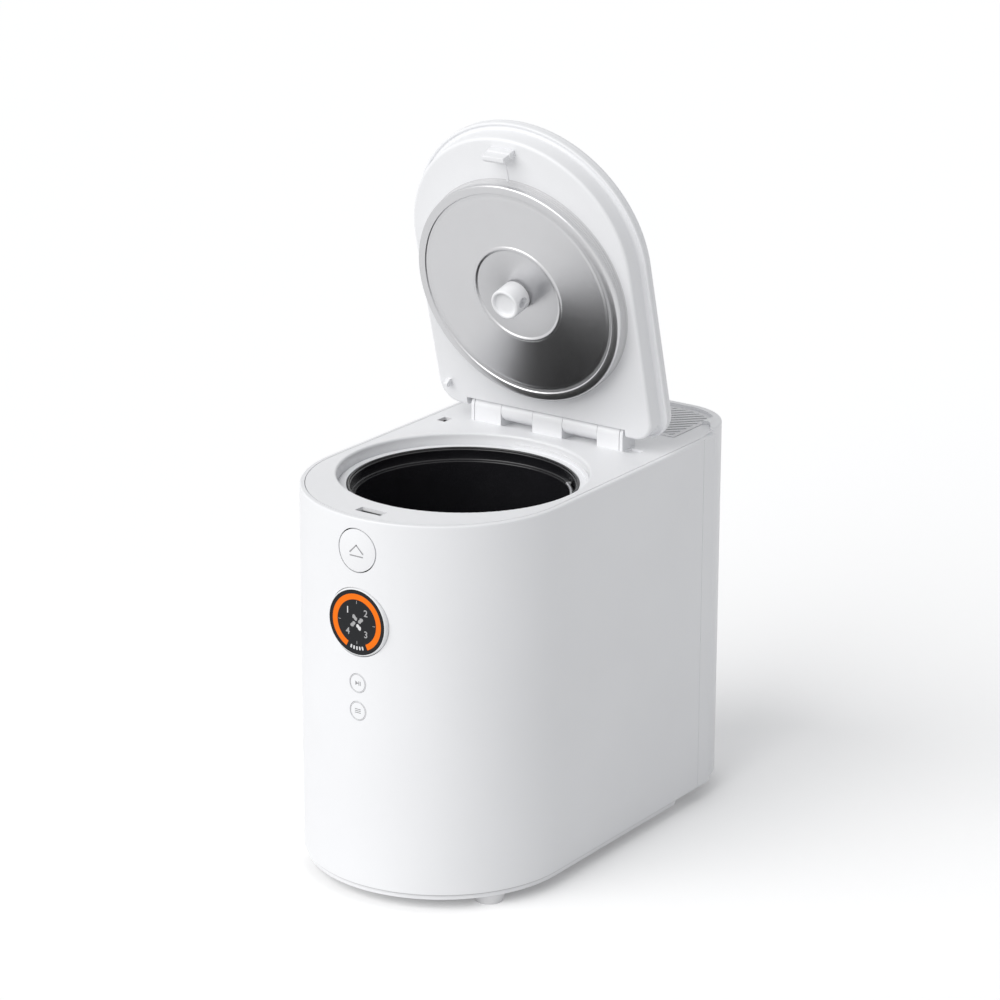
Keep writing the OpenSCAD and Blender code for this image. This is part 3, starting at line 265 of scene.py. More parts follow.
class Finish:
    """A material being made: its Principled shader, and its pattern in Object coordinates."""

    def __init__(self, name, colour, roughness, **sockets):
        self.material = bpy.data.materials.new(name)
        self.material.use_nodes = True
        self.shader = self.material.node_tree.nodes["Principled BSDF"]
        self.colour = (*colour[:3], 1)
        self.set("Base Color", self.colour)
        self.set("Roughness", roughness)
        for socket, value in sockets.items():
            self.set(socket.replace("_", " "), value)
        self.places = self.node("ShaderNodeTexCoord").outputs["Object"]
        self.bumps = None

    def set(self, socket, value):
        self.shader.inputs[socket].default_value = value

    def node(self, kind, **inputs):
        made = self.material.node_tree.nodes.new(kind)
        for socket, value in inputs.items():
            made.inputs[socket.replace("_", " ")].default_value = value
        return made

    def link(self, output, socket):
        self.material.node_tree.links.new(output, socket)

    def noise(self, scale, detail=2.0):
        pattern = self.node("ShaderNodeTexNoise", Scale=scale, Detail=detail)
        self.link(self.places, pattern.inputs["Vector"])
        return pattern.outputs["Fac"]

    def spread(self, pattern, low, high, start=0.35, end=0.65):
        """Maps a pattern's values between start and end to low and high."""
        span = self.node(
            "ShaderNodeMapRange", From_Min=start, From_Max=end, To_Min=low, To_Max=high
        )
        self.link(pattern, span.inputs["Value"])
        return span.outputs["Result"]

    def vary_colour(self, pattern, darker):
        """The colour goes down by a share where the pattern is low."""
        mix = self.node("ShaderNodeMix")
        mix.data_type = "RGBA"
        dark = (*[c * (1 - darker) for c in self.colour[:3]], 1)
        first, second = [socket for socket in mix.inputs if socket.type == "RGBA"]
        first.default_value, second.default_value = dark, self.colour
        self.link(self.spread(pattern, 0, 1), mix.inputs[0])
        result = next(out for out in mix.outputs if out.type == "RGBA")
        self.link(result, self.shader.inputs["Base Color"])

    def vary_roughness(self, pattern, low, high):
        self.link(self.spread(pattern, low, high), self.shader.inputs["Roughness"])

    def bump(self, pattern, depth, strength=1.0):
        """Adds a bump whose height is depth metres over the pattern's whole range."""
        relief = self.node("ShaderNodeBump", Strength=strength, Distance=depth)
        self.link(pattern, relief.inputs["Height"])
        if self.bumps:
            self.link(self.bumps, relief.inputs["Normal"])
        self.bumps = relief.outputs["Normal"]
        self.link(self.bumps, self.shader.inputs["Normal"])


def moulded_plastic(name, colour, roughness, grain=0.00002, **sockets):
    """Moulded plastic: a fine grain, and a slight unevenness in its gloss and colour."""
    finish = Finish(name, colour, roughness, **sockets)
    finish.vary_colour(finish.noise(9.0), 0.02)
    finish.vary_roughness(finish.noise(60.0, 3.0), roughness - 0.03, roughness + 0.03)
    finish.bump(finish.noise(1500.0, 2.0), grain, 0.5)
    return finish.material


def satin_metal(name, colour, roughness):
    """Rolled or drawn metal: cloudy colour and a fine unevenness of the gloss."""
    finish = Finish(name, colour, roughness, Metallic=1.0)
    finish.vary_colour(finish.noise(40.0), 0.015)
    finish.vary_roughness(finish.noise(220.0, 4.0), roughness - 0.012, roughness + 0.012)
    return finish.material


def coated_metal(name, colour, roughness):
    """A sprayed non-stick coat: fine speckle and orange peel."""
    finish = Finish(name, colour, roughness)
    finish.vary_colour(finish.noise(700.0, 1.0), 0.25)
    finish.vary_roughness(finish.noise(40.0, 2.0), roughness - 0.03, roughness + 0.03)
    finish.bump(finish.noise(600.0, 2.0), 0.00001, 0.4)
    return finish.material


def glowing(name, colour, strength):
    """A diffuser lit from behind, a little uneven over its length."""
    made = Finish(name, [c * 0.25 for c in colour], 0.35, Specular_IOR_Level=0.1)
    made.set("Emission Color", (*colour[:3], 1))
    uneven = made.spread(made.noise(120.0), strength * 0.96, strength)
    made.link(uneven, made.shader.inputs["Emission Strength"])
    return made.material


FINISHES = {}


def finish(name):
    """A finish by its name, made once."""
    if name not in FINISHES:
        FINISHES[name] = MAKERS[name]()
    return FINISHES[name]


def paints():
    """The colours that the panel sets."""
    return bpy.context.scene.composter_finishes


MAKERS = {
    "white": lambda: moulded_plastic("white_plastic", paints().white, 0.38),
    "grey": lambda: moulded_plastic("grey_plastic", SLOT_COLOUR["grey_plastic"], 0.5),
    "grille": lambda: moulded_plastic("grille_plastic", paints().grille, 0.55, 0.00003),
    "black": lambda: moulded_plastic("black_plastic", SLOT_COLOUR["black_plastic"], 0.45),
    "red": lambda: moulded_plastic("red_plastic", SLOT_COLOUR["red_plastic"], 0.35),
    "rubber": lambda: moulded_plastic("foot_rubber", SLOT_COLOUR["foot_rubber"], 0.7, 0.00004),
    # The seal's grey is the real seal round the plate, and also painted shade on the strip under the shell.
    "seal": lambda: moulded_plastic("seal_and_shade_grey", paints().seal, 0.42, 0.00001),
    "glass": lambda: moulded_plastic(
        "smoked_lens", paints().lens, 0.16, 0.000002, Specular_IOR_Level=0.15
    ),
    "coat": lambda: coated_metal("bucket_coat", paints().bucket, 0.22),
    "steel": lambda: satin_metal("satin_steel", SLOT_COLOUR["steel"], 0.302),
    "aluminium": lambda: satin_metal("aluminium", SLOT_COLOUR["aluminium"], 0.36),
    "brass": lambda: satin_metal("brass", SLOT_COLOUR["brass"], 0.3),
    "board": lambda: moulded_plastic("circuit_board", SLOT_COLOUR["board"], 0.4),
    "wool": lambda: moulded_plastic("mineral_wool", SLOT_COLOUR["wool"], 0.95, 0.0006),
    "light": lambda: glowing("lit_diffuser", paints().light, 0.72),
    "print": lambda: glowing("lit_print", paints().print, 0.75),
    "dim_print": lambda: glowing("dim_print", paints().print, 0.3),
    "ink": lambda: moulded_plastic("grey_ink", paints().ink, 0.5, 0.000002),
}

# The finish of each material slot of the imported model
SLOT_FINISH = {
    "white_shell": "white",
    "grey_plastic": "grey",
    "grille_plastic": "grille",
    "black_plastic": "black",
    "red_plastic": "red",
    "foot_rubber": "rubber",
    "display_glass": "glass",
    "orange_light": "light",
    "board": "board",
    "bucket_coat": "coat",
    "steel": "steel",
    "aluminium": "aluminium",
    "brass": "brass",
    "wool": "wool",
}


class ComposterFinishes(bpy.types.PropertyGroup):
    white: FloatVectorProperty(
        name="Shell", description="Colour of the white plastic", subtype="COLOR", size=3,
        default=(0.84, 0.845, 0.86), min=0, max=1,
    )
    grille: FloatVectorProperty(
        name="Filter cover", description="Colour of the slatted cover at the back", subtype="COLOR",
        size=3, default=(0.8, 0.8, 0.815), min=0, max=1,
    )
    # This grey is also the painted shade of the strip in the joint under the shell.
    seal: FloatVectorProperty(
        name="Seal", description="Colour of the seal round the steel plate", subtype="COLOR",
        size=3, default=(0.62, 0.62, 0.63), min=0, max=1,
    )
    lens: FloatVectorProperty(
        name="Lens", description="Colour of the display's smoked lens", subtype="COLOR",
        size=3, default=(0.017, 0.018, 0.02), min=0, max=1,
    )
    bucket: FloatVectorProperty(
        name="Bucket", description="Colour of the bucket's non-stick coat", subtype="COLOR",
        size=3, default=SLOT_COLOUR["bucket_coat"], min=0, max=1,
    )
    light: FloatVectorProperty(
        name="Light ring", description="Colour that the ring on the display glows in",
        subtype="COLOR", size=3, default=(1.0, 0.2, 0.008), min=0, max=1,
    )
    ink: FloatVectorProperty(
        name="Ink", description="Colour of the printed signs on the buttons", subtype="COLOR",
        size=3, default=(0.3, 0.3, 0.31), min=0, max=1,
    )
    print: FloatVectorProperty(
        name="Print", description="Colour of the lit figures on the display", subtype="COLOR",
        size=3, default=(0.75, 0.75, 0.76), min=0, max=1,
    )


class COMPOSTER_OT_finish_nodes(bpy.types.Operator):
    """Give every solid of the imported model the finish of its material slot"""

    bl_idname = "composter.finish_nodes"
    bl_label = "Finish the solids"

    def execute(self, context):
        for row in frame["record"]["subparts"]:
            node = NODES[row["node"]]
            node.data.materials.clear()
            node.data.materials.append(finish(SLOT_FINISH[row["material_slot"]]))
        return {"FINISHED"}


# ------------------------------------------------------------------ lid


class ComposterLid(bpy.types.PropertyGroup):
    lip: FloatProperty(
        name="Lip", description="Width of the lip round the inner panel", unit="LENGTH",
        default=2.2 * MM,
    )
    fillet: FloatProperty(
        name="Fillet", description="Radius between the channel inside the lip and the wall",
        unit="LENGTH", default=3.0 * MM,
    )
    shoulder: FloatProperty(
        name="Shoulder", description="Radius between the wall and the plateau", unit="LENGTH",
        default=3.0 * MM,
    )
    knob_radius: FloatProperty(
        name="Knob radius", description="Radius of the knob on the steel plate", unit="LENGTH",
        default=13.0 * MM,
    )


def plan_face(name, half_width, front_y, end_y, corner, height, sides=192):
    """A flat face with a half-round front, straight sides and rounded rear corners."""
    piece = start(
        name, bpy.ops.mesh.primitive_circle_add, vertices=sides, radius=half_width,
        fill_type="NGON", location=(0, front_y, height),
    )
    edit(piece)
    bpy.ops.mesh.bisect(
        plane_co=(0, front_y, height), plane_no=(0, 1, 0), clear_outer=True, clear_inner=False
    )
    pick(
        piece, "EDGE",
        lambda e: abs(middle(e).y - front_y) < TINY and e.calc_length() > half_width,
    )
    extrude(y=end_y - front_y)
    pick(piece, "FACE", lambda f: True)
    bpy.ops.mesh.dissolve_faces()
    pick(piece, "VERT", lambda v: abs(v.co.y - end_y) < TINY)
    bpy.ops.mesh.bevel(offset=corner, segments=20, affect="VERTICES")
    pick(piece, "FACE", lambda f: True)
    return piece


def face_down(piece):
    """Turns a selected flat face so that it looks down."""
    if bmesh.from_edit_mesh(piece.data).faces[:][0].normal.z > 0:
        bpy.ops.mesh.flip_normals()


def quarter_steps(radius, turns=8):
    """Inset steps along a quarter circle that starts flat and ends upright."""
    arc = [RIGHT_ANGLE * n / turns for n in range(turns + 1)]
    return [
        ((math.sin(b) - math.sin(a)) * radius, (math.cos(a) - math.cos(b)) * radius)
        for a, b in zip(arc, arc[1:])
    ]


def stack_insets(steps):
    """Insets the selected face by (width, rise) steps; a rise goes along its normal."""
    for width, rise in steps:
        bpy.ops.mesh.inset(thickness=width, depth=rise, use_boundary=True, use_even_offset=True)


class COMPOSTER_OT_lid_panel(bpy.types.Operator):
    """Model the lid's inner panel: a rounded lip, a channel and a plateau with soft shoulders"""

    bl_idname = "composter.lid_panel"
    bl_label = "Lid panel"

    def execute(self, context):
        sizes = context.scene.composter_lid
        side_gap, corner = 2.2 * MM, 25 * MM
        end_y = HINGE.y + 4 * MM
        seam = HINGE.z + 9.4 * MM  # joint with the outer cover
        lip = HINGE.z + 6.2 * MM
        lip_rise = 0.8 * MM
        panel = plan_face("lid_panel", HALF_WIDTH - side_gap, ARC_Y, end_y, corner, seam)
        face_down(panel)
        extrude(z=lip + 1 * MM - seam)
        rounded_lip = [(0.12, 0.5), (0.35, 0.35), (0.6, 0.15)]
        steps = [(width * MM, rise * MM) for width, rise in rounded_lip]
        steps += [
            (sizes.lip - 1.4 * MM, 0), (0.3 * MM, -0.2 * MM), (0.15 * MM, 0.2 * MM - lip_rise),
            (0.3 * MM, 0),
        ]
        steps += quarter_steps(sizes.fillet)
        steps.append((0.4 * MM, lip + lip_rise - PLATEAU_Z - sizes.fillet - sizes.shoulder))
        steps += [(rise, width) for width, rise in quarter_steps(sizes.shoulder)]
        stack_insets(steps)
        close_up(panel)
        # Room for the hinge between the panel's two rear tongues
        notch_width, notch_y, large = 160 * MM, HINGE.y - 10.2 * MM, 100 * MM
        cut(panel, start(
            "notch", bpy.ops.mesh.primitive_cube_add, size=1,
            location=(0, notch_y + large / 2, HINGE.z), scale=(notch_width, large, large),
        ))
        place(panel, SWING)
        install(panel, "lid", "white_shell", finish("white"), "lid_inner_panel", angle=40)
        return {"FINISHED"}


class COMPOSTER_OT_steel_plate(bpy.types.Operator):
    """Turn the pressed steel plate inside the lid and the seal round it"""

    bl_idname = "composter.steel_plate"
    bl_label = "Steel plate and seal"

    def execute(self, context):
        face = HINGE.z - 20.3 * MM
        centre_hole = [(4, 1.0), (4, 0.2), (5, 0)]
        groove = [
            (39.2, 0), (39.7, -0.12), (40.3, -0.6), (41.0, -0.95), (41.7, -1.0), (42.4, -0.95),
            (43.1, -0.6), (43.7, -0.12), (44.2, 0),
        ]
        bead = [
            (85.2, 0), (86.2, 0.1), (87.2, 0.4), (88.0, 0.5), (88.8, 0.4), (89.8, 0.1), (90.6, 0)
        ]
        rim = [
            (91.0, -0.1), (91.4, -0.7), (91.8, -0.85), (96.8, -0.85), (97.8, -0.6), (98.4, 0),
            (98.6, 0.8), (98.6, 3.2), (97.8, 3.2), (97.8, 1.0),
        ]
        outline = [*centre_hole, *groove, *bead, *rim, centre_hole[0]]
        profile = [(radius * MM, face + rise * MM) for radius, rise in outline]
        plate = turned("steel_lid_plate", MOUTH, profile, 192)
        place(plate, SWING)
        install(plate, "lid", "steel", finish("steel"), "steel_plate", angle=50)

        low, top = face + 1.2 * MM, PLATEAU_Z + 0.5 * MM
        start_point = (96.9 * MM, top)
        points = [start_point, (96.9 * MM, low), (97.9 * MM, low)]
        ribs = 4
        pitch = (top - 0.9 * MM - low) / ribs
        rib = [(98.35, 0.1), (98.6, 0.3), (98.6, 0.6), (98.2, 0.85)]
        for n in range(ribs):
            points += [(radius * MM, low + pitch * n + pitch * share) for radius, share in rib]
        flange = [(98.5, 0.9), (99.4, 0.55), (100.2, 0.45), (100.2, 0)]
        points += [(radius * MM, top - down * MM) for radius, down in flange]
        points.append(start_point)
        seal = turned("lid_seal", MOUTH, points, 160)
        place(seal, SWING)
        install(seal, "lid", "grey_plastic", finish("seal"), "plate_gasket", angle=60)
        return {"FINISHED"}


class COMPOSTER_OT_knob(bpy.types.Operator):
    """Turn the knob that locks the steel plate, with its dished end and the notch in its side"""

    bl_idname = "composter.knob"
    bl_label = "Plate knob"

    def execute(self, context):
        radius = context.scene.composter_lid.knob_radius / MM
        top = HINGE.z - 20.7 * MM
        outline = [
            (4.9, 13.5), (4.9, 0), (radius - 2, 0), (radius - 2, -1.0), (radius - 0.5, -1.05),
            (radius, -1.6), (radius, -18.2), (radius - 0.25, -19.0), (radius - 0.8, -19.4),
            (radius - 1.6, -19.5), (radius - 2.3, -19.4), (radius - 2.8, -19.0),
            (radius - 3.1, -18.4), (radius - 3.3, -17.6), (radius - 4.2, -17.1),
            (radius - 7, -16.8), (1.0, -16.7),
        ]
        knob = turned("plate_lock_knob", MOUTH, [(r * MM, top + z * MM) for r, z in outline], 96)
        window_z = top - 10.4 * MM
        window = start(
            "window", bpy.ops.mesh.primitive_cylinder_add, vertices=48, radius=4.2 * MM,
            depth=12 * MM, location=(MOUTH.x + radius * MM + 0.8 * MM, MOUTH.y, window_z),
            rotation=(0, RIGHT_ANGLE, 0),
        )
        edit(window)
        stretch((0, 0, window_z), z=1.35)
        leave()
        cut(knob, window)
        place(knob, SWING)
        install(knob, "knob", "white_shell", finish("white"), "plate_knob", angle=50)
        return {"FINISHED"}


class COMPOSTER_OT_hook(bpy.types.Operator):
    """Model the hook that the latch catches, the block it stands on and the rib under it"""

    bl_idname = "composter.hook"
    bl_label = "Lid hook"

    def execute(self, context):
        front = SHELL_LOW.y + 20 * MM
        half_width, foot_depth = 11.4 * MM, 7 * MM
        neck, barb, barb_reach = 5.4 * MM, 3.1 * MM, 2.2 * MM
        catch = drawn_box(
            "catch", (-half_width, front - 4 * MM, PLATEAU_Z - foot_depth),
            (half_width, front + 1.5 * MM, PLATEAU_Z),
        )
        pick(catch, "FACE", lambda f: f.normal.z < -0.9)
        bpy.ops.mesh.inset(thickness=0.9 * MM)
        extrude(z=-neck)
        extrude(z=-barb)
        barb_top = PLATEAU_Z - 12.5 * MM
        pick(catch, "FACE", lambda f: f.normal.y > 0.9 and middle(f).z < barb_top)
        extrude(y=barb_reach)
        stretch((0, front, barb_top - 0.1 * MM), z=0.4)
        leave()
        round_edges(catch, 0.45 * MM, 3)
        rib = drawn_box(
            "rib", (-1.6 * MM, front + 1 * MM, PLATEAU_Z - 0.7 * MM),
            (1.6 * MM, MOUTH.y - 96 * MM, PLATEAU_Z + 0.3 * MM),
        )
        pick(rib, "FACE", lambda f: f.normal.z < -0.9)
        stretch((0, front, PLATEAU_Z), x=0.6)
        leave()
        catch = join("lid_catch", catch, rib)
        place(catch, SWING)
        install(catch, "lid", "white_shell", finish("white"), "lid_hook")
        return {"FINISHED"}


# ------------------------------------------------------------------ bucket


class ComposterBucket(bpy.types.PropertyGroup):
    rim: FloatProperty(
        name="Rim", description="Radius of the rounded rim", unit="LENGTH", default=94.5 * MM
    )
    ledge: FloatProperty(
        name="Ledge", description="Width of the step that the handle rests on", unit="LENGTH",
        default=4.0 * MM,
    )
    ledge_depth: FloatProperty(
        name="Ledge depth", description="Distance of the step under the rim", unit="LENGTH",
        default=11.0 * MM,
    )
    handle_turn: FloatProperty(
        name="Handle", description="Turn of the handle's ears about the bucket's axis",
        subtype="ANGLE", default=math.radians(50),
    )


class COMPOSTER_OT_bucket(bpy.types.Operator):
    """Turn the coated bucket with its rolled rim, step and boss, and add the handle's ears"""

    bl_idname = "composter.bucket"
    bl_label = "Bucket"

    def execute(self, context):
        sizes = context.scene.composter_bucket
        low, high = BUCKET_LOW.z / MM, BUCKET_HIGH.z / MM
        rim = sizes.rim / MM
        wall = rim - 2.5
        inner = wall - sizes.ledge / MM
        step = high - sizes.ledge_depth / MM
        outside = [
            (6.1, low), (inner + 0.4, low), (inner + 1.3, low + 0.4), (inner + 1.6, low + 1.4),
            (inner + 1.6, step - 1.7), (wall + 1.2, step - 1.6), (wall + 1.6, step - 1.2),
            (wall + 1.6, high - 3),
        ]
        rolled_rim = [
            (rim - 0.3, high - 3), (rim, high - 2.6), (rim, high - 1.1), (rim - 0.2, high - 0.5),
            (rim - 0.6, high - 0.1), (rim - 1.1, high), (rim - 1.5, high - 0.1),
            (rim - 1.8, high - 0.4), (rim - 1.95, high - 0.9), (rim - 2.0, high - 1.6),
        ]
        band = [
            (wall - 0.15, high - 1.9), (wall - 0.35, high - 2.3), (wall - 0.15, high - 2.7),
            (wall, high - 3.2), (wall, step + 1.0), (wall - 0.15, step + 0.5),
            (wall - 0.5, step + 0.15), (wall - 1.0, step),
        ]
        inside = [
            (inner + 1.1, step), (inner + 0.6, step + 0.12), (inner + 0.25, step),
            (inner + 0.05, step - 0.35), (inner, step - 0.9), (inner, low + 4.5),
            (inner - 0.4, low + 3.2), (inner - 1.3, low + 2.3), (inner - 2.6, low + 2),
        ]
        boss = [
            (12.4, low + 2), (11.4, low + 2.4), (11, low + 3.2), (11, low + 9.3),
            (10.7, low + 9.8), (10.2, low + 10), (9.1, low + 10), (9.1, low + 6), (6.1, low + 6),
        ]
        outline = [*outside, *rolled_rim, *band, *inside, *boss, outside[0]]
        bucket = turned("bucket_body", MOUTH, [(r * MM, z * MM) for r, z in outline], 192)
        ears = []
        for turn in (sizes.handle_turn, sizes.handle_turn + math.pi):
            ear = drawn_box(
                "ear", ((wall - 1.4) * MM, -4.5 * MM, (step - 0.3) * MM),
                ((wall + 0.3) * MM, 4.5 * MM, (step + 5.2) * MM),
            )
            pick(ear, "FACE", lambda f: f.normal.z > 0.9)
            extrude(z=1.8 * MM)
            stretch((0, 0, high * MM), y=0.55)
            leave()
            round_edges(ear, 0.3 * MM, 2)
            place(ear, Matrix.Translation(MOUTH) @ Matrix.Rotation(turn, 4, "Z"))
            ears.append(ear)
        bucket = join("coated_bucket", bucket, *ears)
        install(bucket, "bin", "bucket_coat", finish("coat"), "bucket", angle=40)
        return {"FINISHED"}


# ------------------------------------------------------------------ base


class COMPOSTER_OT_base_shade_strip(bpy.types.Operator):
    """Model a thin grey strip in the joint under the shell; its grey is painted shade for the groove's shadow"""

    bl_idname = "composter.base_seam"
    bl_label = "Base strip"

    def execute(self, context):
        edge_in, corner = 1.1 * MM, 15.6 * MM
        width, height = 1.9 * MM, 1.3 * MM
        top, end_y = SHELL_LOW.z - 0.02 * MM, MOUTH.y + 164.6 * MM
        strip = plan_face("base_shade_strip", HALF_WIDTH - edge_in, ARC_Y, end_y, corner, top)
        bpy.ops.mesh.inset(thickness=width)
        bpy.ops.mesh.delete(type="FACE")
        leave()
        use_modifier(strip, "SOLIDIFY", thickness=height, offset=-1)
        edit(strip)
        close_up(strip)
        drawn_top = max(v.co.z for v in strip.data.vertices)
        place(strip, Matrix.Translation((0, 0, top - drawn_top)))
        # The seal grey on this strip is painted shade, standing in for the shadow in the groove between shell and
        # skirt.
        install(strip, "base", "grey_plastic", finish("seal"))
        return {"FINISHED"}


# ------------------------------------------------------------------ front controls


class ComposterDisplay(bpy.types.PropertyGroup):
    digit: FloatProperty(
        name="Digits", description="Height of the four figures", unit="LENGTH", default=5.6 * MM
    )
    digit_circle: FloatProperty(
        name="Digit circle", description="Radius that the four figures stand on", unit="LENGTH",
        default=12.6 * MM,
    )
    blade: FloatProperty(
        name="Fan sign", description="Radius of the fan sign in the middle", unit="LENGTH",
        default=7.0 * MM,
    )
    film: FloatProperty(
        name="Film", description="Thickness of the printed signs", unit="LENGTH", default=0.03 * MM
    )


def facing_front(centre, turn=0.0):
    """Matrix that takes a drawing in the XY plane to an upright place that faces the front."""
    upright = Matrix.Rotation(RIGHT_ANGLE, 4, "X")
    return Matrix.Translation(centre) @ upright @ Matrix.Rotation(turn, 4, "Z")


def round_place(radius, angle):
    """Matrix to a place on a circle in the XY plane."""
    return Matrix.Translation(Vector((math.cos(angle), math.sin(angle), 0)) * radius)


def film_of(piece, thickness):
    """Gives a flat drawing its thickness and closes it."""
    edit(piece)
    extrude(z=thickness)
    close_up(piece)
    return piece


def bar_sign(half_width, half_height, thickness, centre=(0, 0)):
    """A short printed bar with softened ends."""
    centre = (*centre, 0)
    bar = start("bar", bpy.ops.mesh.primitive_plane_add, size=1, location=centre)
    edit(bar)
    stretch(centre, x=2 * half_width, y=2 * half_height)
    bpy.ops.mesh.bevel(
        offset=min(half_width, half_height) * 0.5, segments=3, affect="VERTICES"
    )
    leave()
    return film_of(bar, thickness)


def ring_sign(inner, outer, thickness, sides=96):
    """A thin printed ring."""
    profile = [(inner, 0), (outer, 0), (outer, thickness), (inner, thickness), (inner, 0)]
    return turned("ring", ORIGIN, profile, sides)


def blade_sign(radius, thickness):
    """One petal of the fan sign, swept to one side."""
    centre = (radius * 0.6, 0, 0)
    blade = start(
        "blade", bpy.ops.mesh.primitive_circle_add, vertices=32, radius=radius * 0.4,
        fill_type="NGON", location=centre,
    )
    edit(blade)
    stretch(centre, y=0.6)
    pick(blade, "VERT", lambda v: v.co.x > centre[0])
    bpy.ops.transform.translate(value=(0, radius * 0.14, 0))
    leave()
    return film_of(blade, thickness)


def figure_sign(body, height, thickness):
    """A printed figure, from a text that becomes a mesh."""
    clear_selection()
    bpy.ops.object.text_add(location=(0, 0, 0))
    text = bpy.context.object.data
    text.body = body
    text.size = height * 1.4
    text.align_x = text.align_y = "CENTER"
    text.offset = height * 0.02
    bpy.ops.object.convert(target="MESH")
    return film_of(named(bpy.context.object, "figure_" + body), thickness)


class COMPOSTER_OT_display(bpy.types.Operator):
    """Print the figures, the marks, the fan sign and the filter sign on the round display"""

    bl_idname = "composter.display"
    bl_label = "Display"

    def execute(self, context):
        sizes = context.scene.composter_display
        film = sizes.film
        face = facing_front(
            Vector((0, LENS_LOW.y + PRINT_SINK, (LENS_LOW.z + LENS_HIGH.z) / 2))
        )
        lit, dim = [], []
        for body, degrees in (("1", 135), ("2", 45), ("3", -45), ("4", -135)):
            figure = figure_sign(body, sizes.digit, film)
            place(figure, face @ round_place(sizes.digit_circle, math.radians(degrees)))
            (lit if body == "1" else dim).append(figure)
        for n in range(4):
            tick = bar_sign(1.25 * MM, 0.22 * MM, film, (16.95 * MM, 0))
            place(tick, face @ Matrix.Rotation(RIGHT_ANGLE * n, 4, "Z"))
            dim.append(tick)
            blade = blade_sign(sizes.blade, film)
            place(blade, face @ Matrix.Rotation(math.radians(20) + RIGHT_ANGLE * n, 4, "Z"))
            (lit if n == 3 else dim).append(blade)
        gap_circle, pitch = 21.6 * MM, math.radians(7.5)
        for n in range(-2, 3):
            angle = n * pitch - RIGHT_ANGLE
            bar = bar_sign(0.75 * MM, 1.5 * MM, film)
            along = Matrix.Rotation(angle + RIGHT_ANGLE, 4, "Z")
            place(bar, face @ round_place(gap_circle, angle) @ along)
            lit.append(bar)
        for name, signs, paint in (("lit_signs", lit, "print"), ("dim_signs", dim, "dim_print")):
            install(join(name, *signs), "base", "white_shell", finish(paint))
        return {"FINISHED"}


class COMPOSTER_OT_bezel(bpy.types.Operator):
    """Turn the white ring round the display, with its soft outer edge"""

    bl_idname = "composter.bezel"
    bl_label = "Display ring"

    def execute(self, context):
        low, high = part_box("display_bezel")
        outer = (high.x - low.x) / 2
        inner = (LENS_HIGH.x - LENS_LOW.x) / 2 + 0.1 * MM
        deep = high.y - low.y
        soft, fall, turns = 1.45 * MM, 3.8 * MM, 8  # the outer edge, a quarter of an ellipse
        profile = [(inner, -deep), (inner, -0.15 * MM), (inner + 0.1 * MM, 0)]
        for n in range(turns + 1):
            a = RIGHT_ANGLE * n / turns
            profile.append((outer - soft + soft * math.sin(a), fall * (math.cos(a) - 1)))
        profile += [(outer, -deep), (inner, -deep)]
        ring = turned("display_ring", ORIGIN, profile, 160)
        place(ring, facing_front(Vector((0, low.y, (low.z + high.z) / 2))))
        install(ring, "base", "white_shell", finish("white"), "display_bezel")
        return {"FINISHED"}


class COMPOSTER_OT_release(bpy.types.Operator):
    """Model the lid release's cap, curved as the shell is, with a softened edge and its stem"""

    bl_idname = "composter.release"
    bl_label = "Release button"

    def execute(self, context):
        radius = (PUSH_HIGH.x - PUSH_LOW.x) / 2 - 0.4 * MM
        centre = Vector((0, PUSH_LOW.y, (PUSH_LOW.z + PUSH_HIGH.z) / 2))
        proud, skirt, wall, thick, stem = 2 * MM, 10 * MM, 2 * MM, 3 * MM, 4 * MM
        cap = turned("release_cap", ORIGIN, [
            (radius, proud), (radius, -skirt), (radius - wall, -skirt), (radius - wall, -thick),
            (stem, -thick), (stem, PUSH_LOW.y - PUSH_HIGH.y),
        ], 128)
        place(cap, facing_front(centre))
        cut(cap, start(
            "round_front", bpy.ops.mesh.primitive_cylinder_add, vertices=512, radius=HALF_WIDTH,
            depth=80 * MM, location=(0, SHELL_LOW.y + HALF_WIDTH, centre.z),
        ), "INTERSECT")
        round_edges(cap, 0.35 * MM, 3, 50)
        install(cap, "release", "white_shell", finish("white"), "push_button", angle=30)
        return {"FINISHED"}


class COMPOSTER_OT_release_spring(bpy.types.Operator):
    """Copy the coil spring behind the release's cap"""

    bl_idname = "composter.release_spring"
    bl_label = "Release spring"

    def execute(self, context):
        choose(NODES["push_spring"])
        bpy.ops.object.duplicate()
        spring = named(bpy.context.object, "release_spring")
        edit(spring)
        close_up(spring)
        install(spring, "base", "steel", finish("steel"), "push_spring")
        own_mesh(spring)
        return {"FINISHED"}


